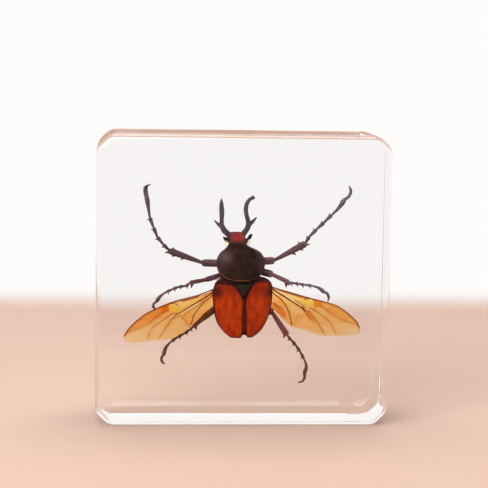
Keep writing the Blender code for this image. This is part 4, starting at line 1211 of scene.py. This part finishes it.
LEG_PIT_MM, LEG_PIT_DEPTH = 0.12, 0.01
LEG_DENT_MM, LEG_DENT_DEPTH = 0.6, 0.02
TONE_SHARE = 0.9


def segment(name, route, shape, width=1.0, base=0.0, flat=1.0, blunt=(1.0, 1.0)):
    """One joint of a leg on a route, from pairs of share along it and share of the width."""
    route = spaced(route, LEG_POINTS)
    rows = through(shape, 3)
    shares = np.linspace(0, 1, len(route))
    places = [np.interp(rows[:, 0], shares, route[:, k]) for k in range(3)]
    return rod(name, np.column_stack(places + [base + width * rows[:, 1]]), LEG_SIDES, flat, blunt)


def leg_finish(name, thigh, shin, foot):
    """Purplish shell with its own tones for thigh, shin and foot, mottled and finely pitted."""
    finish = Finish(name)
    tones = ([MOTTLE_DARK * part for part in thigh], thigh)
    colour = finish.shades(finish.noise(MOTTLE_MM), list(zip(MOTTLE_SPAN, tones)))
    colour = finish.layered(colour, [("shin", shin, TONE_SHARE), ("foot", foot, TONE_SHARE)])
    finish.set(Base_Color=colour, Roughness=finish.patchy(*LEG_GLOSS, LEG_GLOSS_MM), IOR=SHELL_IOR)
    finish.relief((finish.pits(LEG_PIT_MM), LEG_PIT_DEPTH), (finish.noise(LEG_DENT_MM), LEG_DENT_DEPTH))
    return finish.material


for name, leg in LEGS.items():
    thigh, narrow, wide = leg["half_widths"]
    slim = leg["slim"]
    hip, knee = np.array(leg["hip"]), np.array(leg["knee"])
    heel = np.array((leg["heel"][0], HEEL_Y, leg["heel"][1]))
    leg_body = segment(f"leg_{name}_shell", [hip, knee], THIGH_SHAPE, thigh, flat=THIGH_FLAT,
                       blunt=THIGH_BLUNT)
    parts = [segment("shin", [knee, heel], SHIN_SHAPE, wide - narrow, narrow, SHIN_FLAT, SHIN_BLUNT)]
    start = heel
    for x, z in leg["foot"][:-1]:
        end = np.array((x, FOOT_Y, z))
        parts.append(segment("toe", [start, end], TOE_SHAPE, slim))
        along = (end - start) / np.linalg.norm(end - start)
        across = np.cross(along, (0, 1, 0)) * leg["teeth"]
        root = start + (end - start) * TOOTH_ROOT
        tip = root + across * TOOTH_REACH + along * TOOTH_LEAN
        tooth = [(*root, slim * TOOTH_WIDTHS[0]), (*tip, TOOTH_WIDTHS[1])]
        parts.append(rod("tooth", tooth, TOOTH_SIDES))
        start = end
    bow = np.array((leg["bow"][0], FOOT_Y, leg["bow"][1]))
    end = np.array((leg["foot"][-1][0], FOOT_Y, leg["foot"][-1][1]))
    parts.append(segment("toe", [start, bow, end], LAST_TOE_SHAPE, slim))
    route = [leg["foot"][-1]] + leg["claw"]
    for turned in (-1, 1):
        apart = turned * leg["claws_apart"]
        spine = [(x + apart, FOOT_Y + turned * spread, z + CLAW_RISE * apart, slim * width)
                 for (x, z), spread, width in zip(route, CLAW_SPREAD, CLAW_WIDTHS)]
        parts.append(rod("claw", through(spine, 5), THORN_SIDES))
    for root, tip in leg["spurs"]:
        stops = [root, [(root[k] + tip[k]) / 2 for k in (0, 1)], tip]
        spine = [(x, HEEL_Y, z, width) for (x, z), width in zip(stops, SPUR_WIDTHS)]
        parts.append(rod("spur", through(spine, 3), THORN_SIDES))
    work(leg_body, "UNION", parts)
    x, y, z = places_of(leg_body)
    shin_line = [(knee[0], knee[2]), leg["heel"]]
    stain(leg_body, "shin", ramp(near_route(x, z, shin_line), *SHIN_OUT))
    upper = near_route(x, z, [(hip[0], hip[2])] + shin_line)
    last_toe = near_route(x, z, [leg["bow"]] + route)
    paler = 1 - leg["toes_darker"] * ramp(last_toe, *LAST_TOE_OUT)
    stain(leg_body, "foot", ramp(upper, *FOOT_OUT) * paler)
    material = leg_finish(f"leg_shell_{name}", *leg["tones"])
    mount(leg_body, material, "leg_shell", f"leg_{name}", crease=45)


# Resin block.
# A clear square casting with blunted corners and softly broken edges, polished on all sides.
# It is poured round the beetle and cures in one piece.
block_low, block_high = cad_box
CORNER_CUT = 3.4 * MM
SHOULDER_RADIUS = 4.0 * MM
SHOULDER_STEPS = 10
EDGE_RADII = {-1: 1.7 * MM, 1: 0.15 * MM}
EDGE_STEPS = 8
RESIN_IOR = 1.5
RESIN_TINT = (0.93, 0.9, 0.86)
RESIN_DENSITY = 4.0


def rounded_square(inset):
    """Points and outward directions round the block's outline, drawn in by an inset."""
    points = []
    for quarter in range(4):
        ahead, aside = (Vector((cos(turn), 0, sin(turn))) for turn in
                        (pi / 2 * quarter, pi / 2 * (quarter + 1)))
        corner = Vector((block_high.x if quarter in (0, 3) else block_low.x, 0,
                         block_high.z if quarter in (0, 1) else block_low.z))
        start = CORNER_CUT + SHOULDER_RADIUS * tan(pi / 8)
        for half, middle in enumerate((corner - aside * start - ahead * SHOULDER_RADIUS,
                                       corner - ahead * start - aside * SHOULDER_RADIUS)):
            for k in range(SHOULDER_STEPS + 1):
                angle = pi / 4 * (2 * quarter + half + k / SHOULDER_STEPS)
                outward = Vector((cos(angle), 0, sin(angle)))
                points.append((middle + (SHOULDER_RADIUS - inset) * outward, outward))
    return points


mesh = bmesh.new()
rings, facings = [], []
for face_y, front in ((block_low.y, -1), (block_high.y, 1)):
    radius = EDGE_RADII[front]
    steps = range(EDGE_STEPS + 1) if front < 0 else range(EDGE_STEPS, -1, -1)
    for k in steps:
        turn = pi / 2 * k / EDGE_STEPS
        depth = face_y - front * radius * (1 - cos(turn))
        inset = radius * (1 - sin(turn))
        ring = []
        for place, outward in rounded_square(inset):
            ring.append(mesh.verts.new((place.x, depth, place.z)))
            facings.append((outward * sin(turn) + Vector((0, front, 0)) * cos(turn)).normalized())
        rings.append(ring)
for lower, upper in zip(rings, rings[1:]):
    for i in range(len(lower)):
        j = (i + 1) % len(lower)
        mesh.faces.new((lower[i], upper[i], upper[j], lower[j]))
mesh.faces.new(rings[0])
mesh.faces.new(rings[-1][::-1])
block = body_of("resin_block", mesh)
block.data.shade_smooth()
block.data.normals_split_custom_set_from_vertices(facings)

resin = Finish("clear_cast_resin")
resin.set(Base_Color=(1.0, 1.0, 1.0, 1.0), Transmission_Weight=1.0, Roughness=0.0, IOR=RESIN_IOR)
tint = resin.nodes.new("ShaderNodeVolumeAbsorption")
tint.inputs["Color"].default_value = (*RESIN_TINT, 1.0)
tint.inputs["Density"].default_value = RESIN_DENSITY
resin.links.new(tint.outputs["Volume"], resin.nodes["Material Output"].inputs["Volume"])
block.data.materials.append(resin.material)
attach(block, "root")
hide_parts("resin_front", "resin_back")


# Floor, backdrop, lights and camera.
# A plain pale floor that ends softly against a white backdrop, an overhead softbox with a key
# light at the upper left, and a warm card far behind that the block's top face mirrors.
FLOOR_COLOUR = (0.585, 0.395, 0.315)
FLOOR_ROUGHNESS, FLOOR_SHINE = 0.6, 0.2
FLOOR_LOW, FLOOR_HIGH = (-1.6, -0.12, -0.0001), (1.6, 1.6, -0.0001)
FLOOR_END_Y = (0.175, 0.235)
BACKDROP_COLOUR = (0.995, 0.975, 0.968)
SKY_STRENGTH, SKY_Z = 0.5, (0.35, 0.75)
FRONT_STRENGTH, FRONT_Y = 0.1, (-0.5, 0.3)
CARD_COLOUR = (0.78, 0.51, 0.395)
CARD_LOW, CARD_HIGH = (-0.9, 3.0, -0.25), (0.9, 3.0, 0.2492)
SOFTBOX = ((0.0, 0.12, 0.95), 0.6, 0.7, 4.8)
KEY_LIGHT = ((-0.35, -0.6, 0.55), 0.8, 0.6, 5.2)
LIGHT_AIM = (0.0, 0.0, 0.04)
CAMERA_PLACE = Vector((-33.42, -455.81, 101.01)) * MM
CAMERA_YAW, CAMERA_PITCH, CAMERA_ROLL = radians(4.273), radians(6.872), radians(0.906)
IMAGE_WIDTH, SENSOR_WIDTH = 488, 36.0
FOCAL_PIXELS = 1765.2
CLIP_NEAR, CLIP_FAR = 0.01, 20.0


def flat_sheet(name, low, high, material):
    """A flat four-cornered stage sheet between two opposite corners."""
    (x0, y0, z0), (x1, y1, z1) = low, high
    corners = [(x0, y0, z0), (x1, y0, z0), (x1, y1, z1), (x0, y1, z1)]
    mesh = bmesh.new()
    mesh.faces.new([mesh.verts.new(corner) for corner in corners])
    sheet = body_of(name, mesh)
    sheet.data.materials.append(material)
    return sheet


def faded(tree, source, start, end, low, high):
    """A value that goes softly from low to high as its source goes from start to end."""
    fade = tree.nodes.new("ShaderNodeMapRange")
    fade.interpolation_type = "SMOOTHSTEP"
    for socket, number in (("From Min", start), ("From Max", end), ("To Min", low), ("To Max", high)):
        fade.inputs[socket].default_value = number
    tree.links.new(source, fade.inputs["Value"])
    return fade.outputs["Result"]


def axes_of(tree, kind):
    """The parts along X, Y and Z of a texture coordinate."""
    where = tree.nodes.new("ShaderNodeTexCoord")
    split = tree.nodes.new("ShaderNodeSeparateXYZ")
    tree.links.new(where.outputs[kind], split.inputs[0])
    return split.outputs


def soft_light(name, place, width, height, radiance):
    """A rectangular soft light of a given brightness, turned to what it lights."""
    lamp = bpy.data.lights.new(name, "AREA")
    lamp.shape = "RECTANGLE"
    lamp.size, lamp.size_y = width, height
    lamp.energy = radiance * pi * width * height
    holder = bpy.data.objects.new(name, lamp)
    bpy.context.scene.collection.objects.link(holder)
    holder.location = place
    holder.rotation_euler = (Vector(LIGHT_AIM) - Vector(place)).to_track_quat("-Z", "Y").to_euler()


paper = Finish("pale_floor")
paper.set(Base_Color=(*FLOOR_COLOUR, 1.0), Roughness=FLOOR_ROUGHNESS, Specular_IOR_Level=FLOOR_SHINE)
paper.set(Alpha=faded(paper, axes_of(paper, "Object")["Y"], *FLOOR_END_Y, 1.0, 0.0))
flat_sheet("floor", FLOOR_LOW, FLOOR_HIGH, paper.material)

glow = bpy.data.materials.new("warm_card")
glow.use_nodes = True
nodes, links = glow.node_tree.nodes, glow.node_tree.links
nodes.remove(nodes["Principled BSDF"])
lit = nodes.new("ShaderNodeEmission")
lit.inputs["Color"].default_value = (*CARD_COLOUR, 1.0)
links.new(lit.outputs["Emission"], nodes["Material Output"].inputs["Surface"])
card = flat_sheet("warm_card", CARD_LOW, CARD_HIGH, glow)
card.visible_camera = card.visible_transmission = False

world = bpy.data.worlds.new("studio")
bpy.context.scene.world = world
world.use_nodes = True
tree = world.node_tree
background = tree.nodes["Background"]
background.inputs["Color"].default_value = (*BACKDROP_COLOUR, 1.0)
axes = axes_of(tree, "Generated")
strength = tree.nodes.new("ShaderNodeMath")
strength.operation = "MULTIPLY"
tree.links.new(faded(tree, axes["Z"], *SKY_Z, 1.0, SKY_STRENGTH), strength.inputs[0])
tree.links.new(faded(tree, axes["Y"], *FRONT_Y, FRONT_STRENGTH, 1.0), strength.inputs[1])
tree.links.new(strength.outputs["Value"], background.inputs["Strength"])

soft_light("overhead_softbox", *SOFTBOX)
soft_light("key_light", *KEY_LIGHT)
cycles = bpy.context.scene.cycles
cycles.max_bounces, cycles.transmission_bounces, cycles.glossy_bounces = 32, 32, 16

view = bpy.data.cameras.new("camera")
view.sensor_fit = "HORIZONTAL"
view.sensor_width = SENSOR_WIDTH
view.lens = FOCAL_PIXELS * SENSOR_WIDTH / IMAGE_WIDTH
view.clip_start, view.clip_end = CLIP_NEAR, CLIP_FAR
camera = bpy.data.objects.new("camera", view)
bpy.context.scene.collection.objects.link(camera)
level = cos(CAMERA_PITCH)
forward = Vector((sin(CAMERA_YAW) * level, cos(CAMERA_YAW) * level, -sin(CAMERA_PITCH)))
right = Vector((cos(CAMERA_YAW), -sin(CAMERA_YAW), 0))
up = right.cross(forward)
tilted_right = cos(CAMERA_ROLL) * right + sin(CAMERA_ROLL) * up
tilted_up = cos(CAMERA_ROLL) * up - sin(CAMERA_ROLL) * right
turn = Matrix((tilted_right, tilted_up, -forward)).transposed()
camera.matrix_world = Matrix.Translation(CAMERA_PLACE) @ turn.to_4x4()
bpy.context.scene.camera = camera
bpy.context.scene.view_settings.view_transform = "Standard"
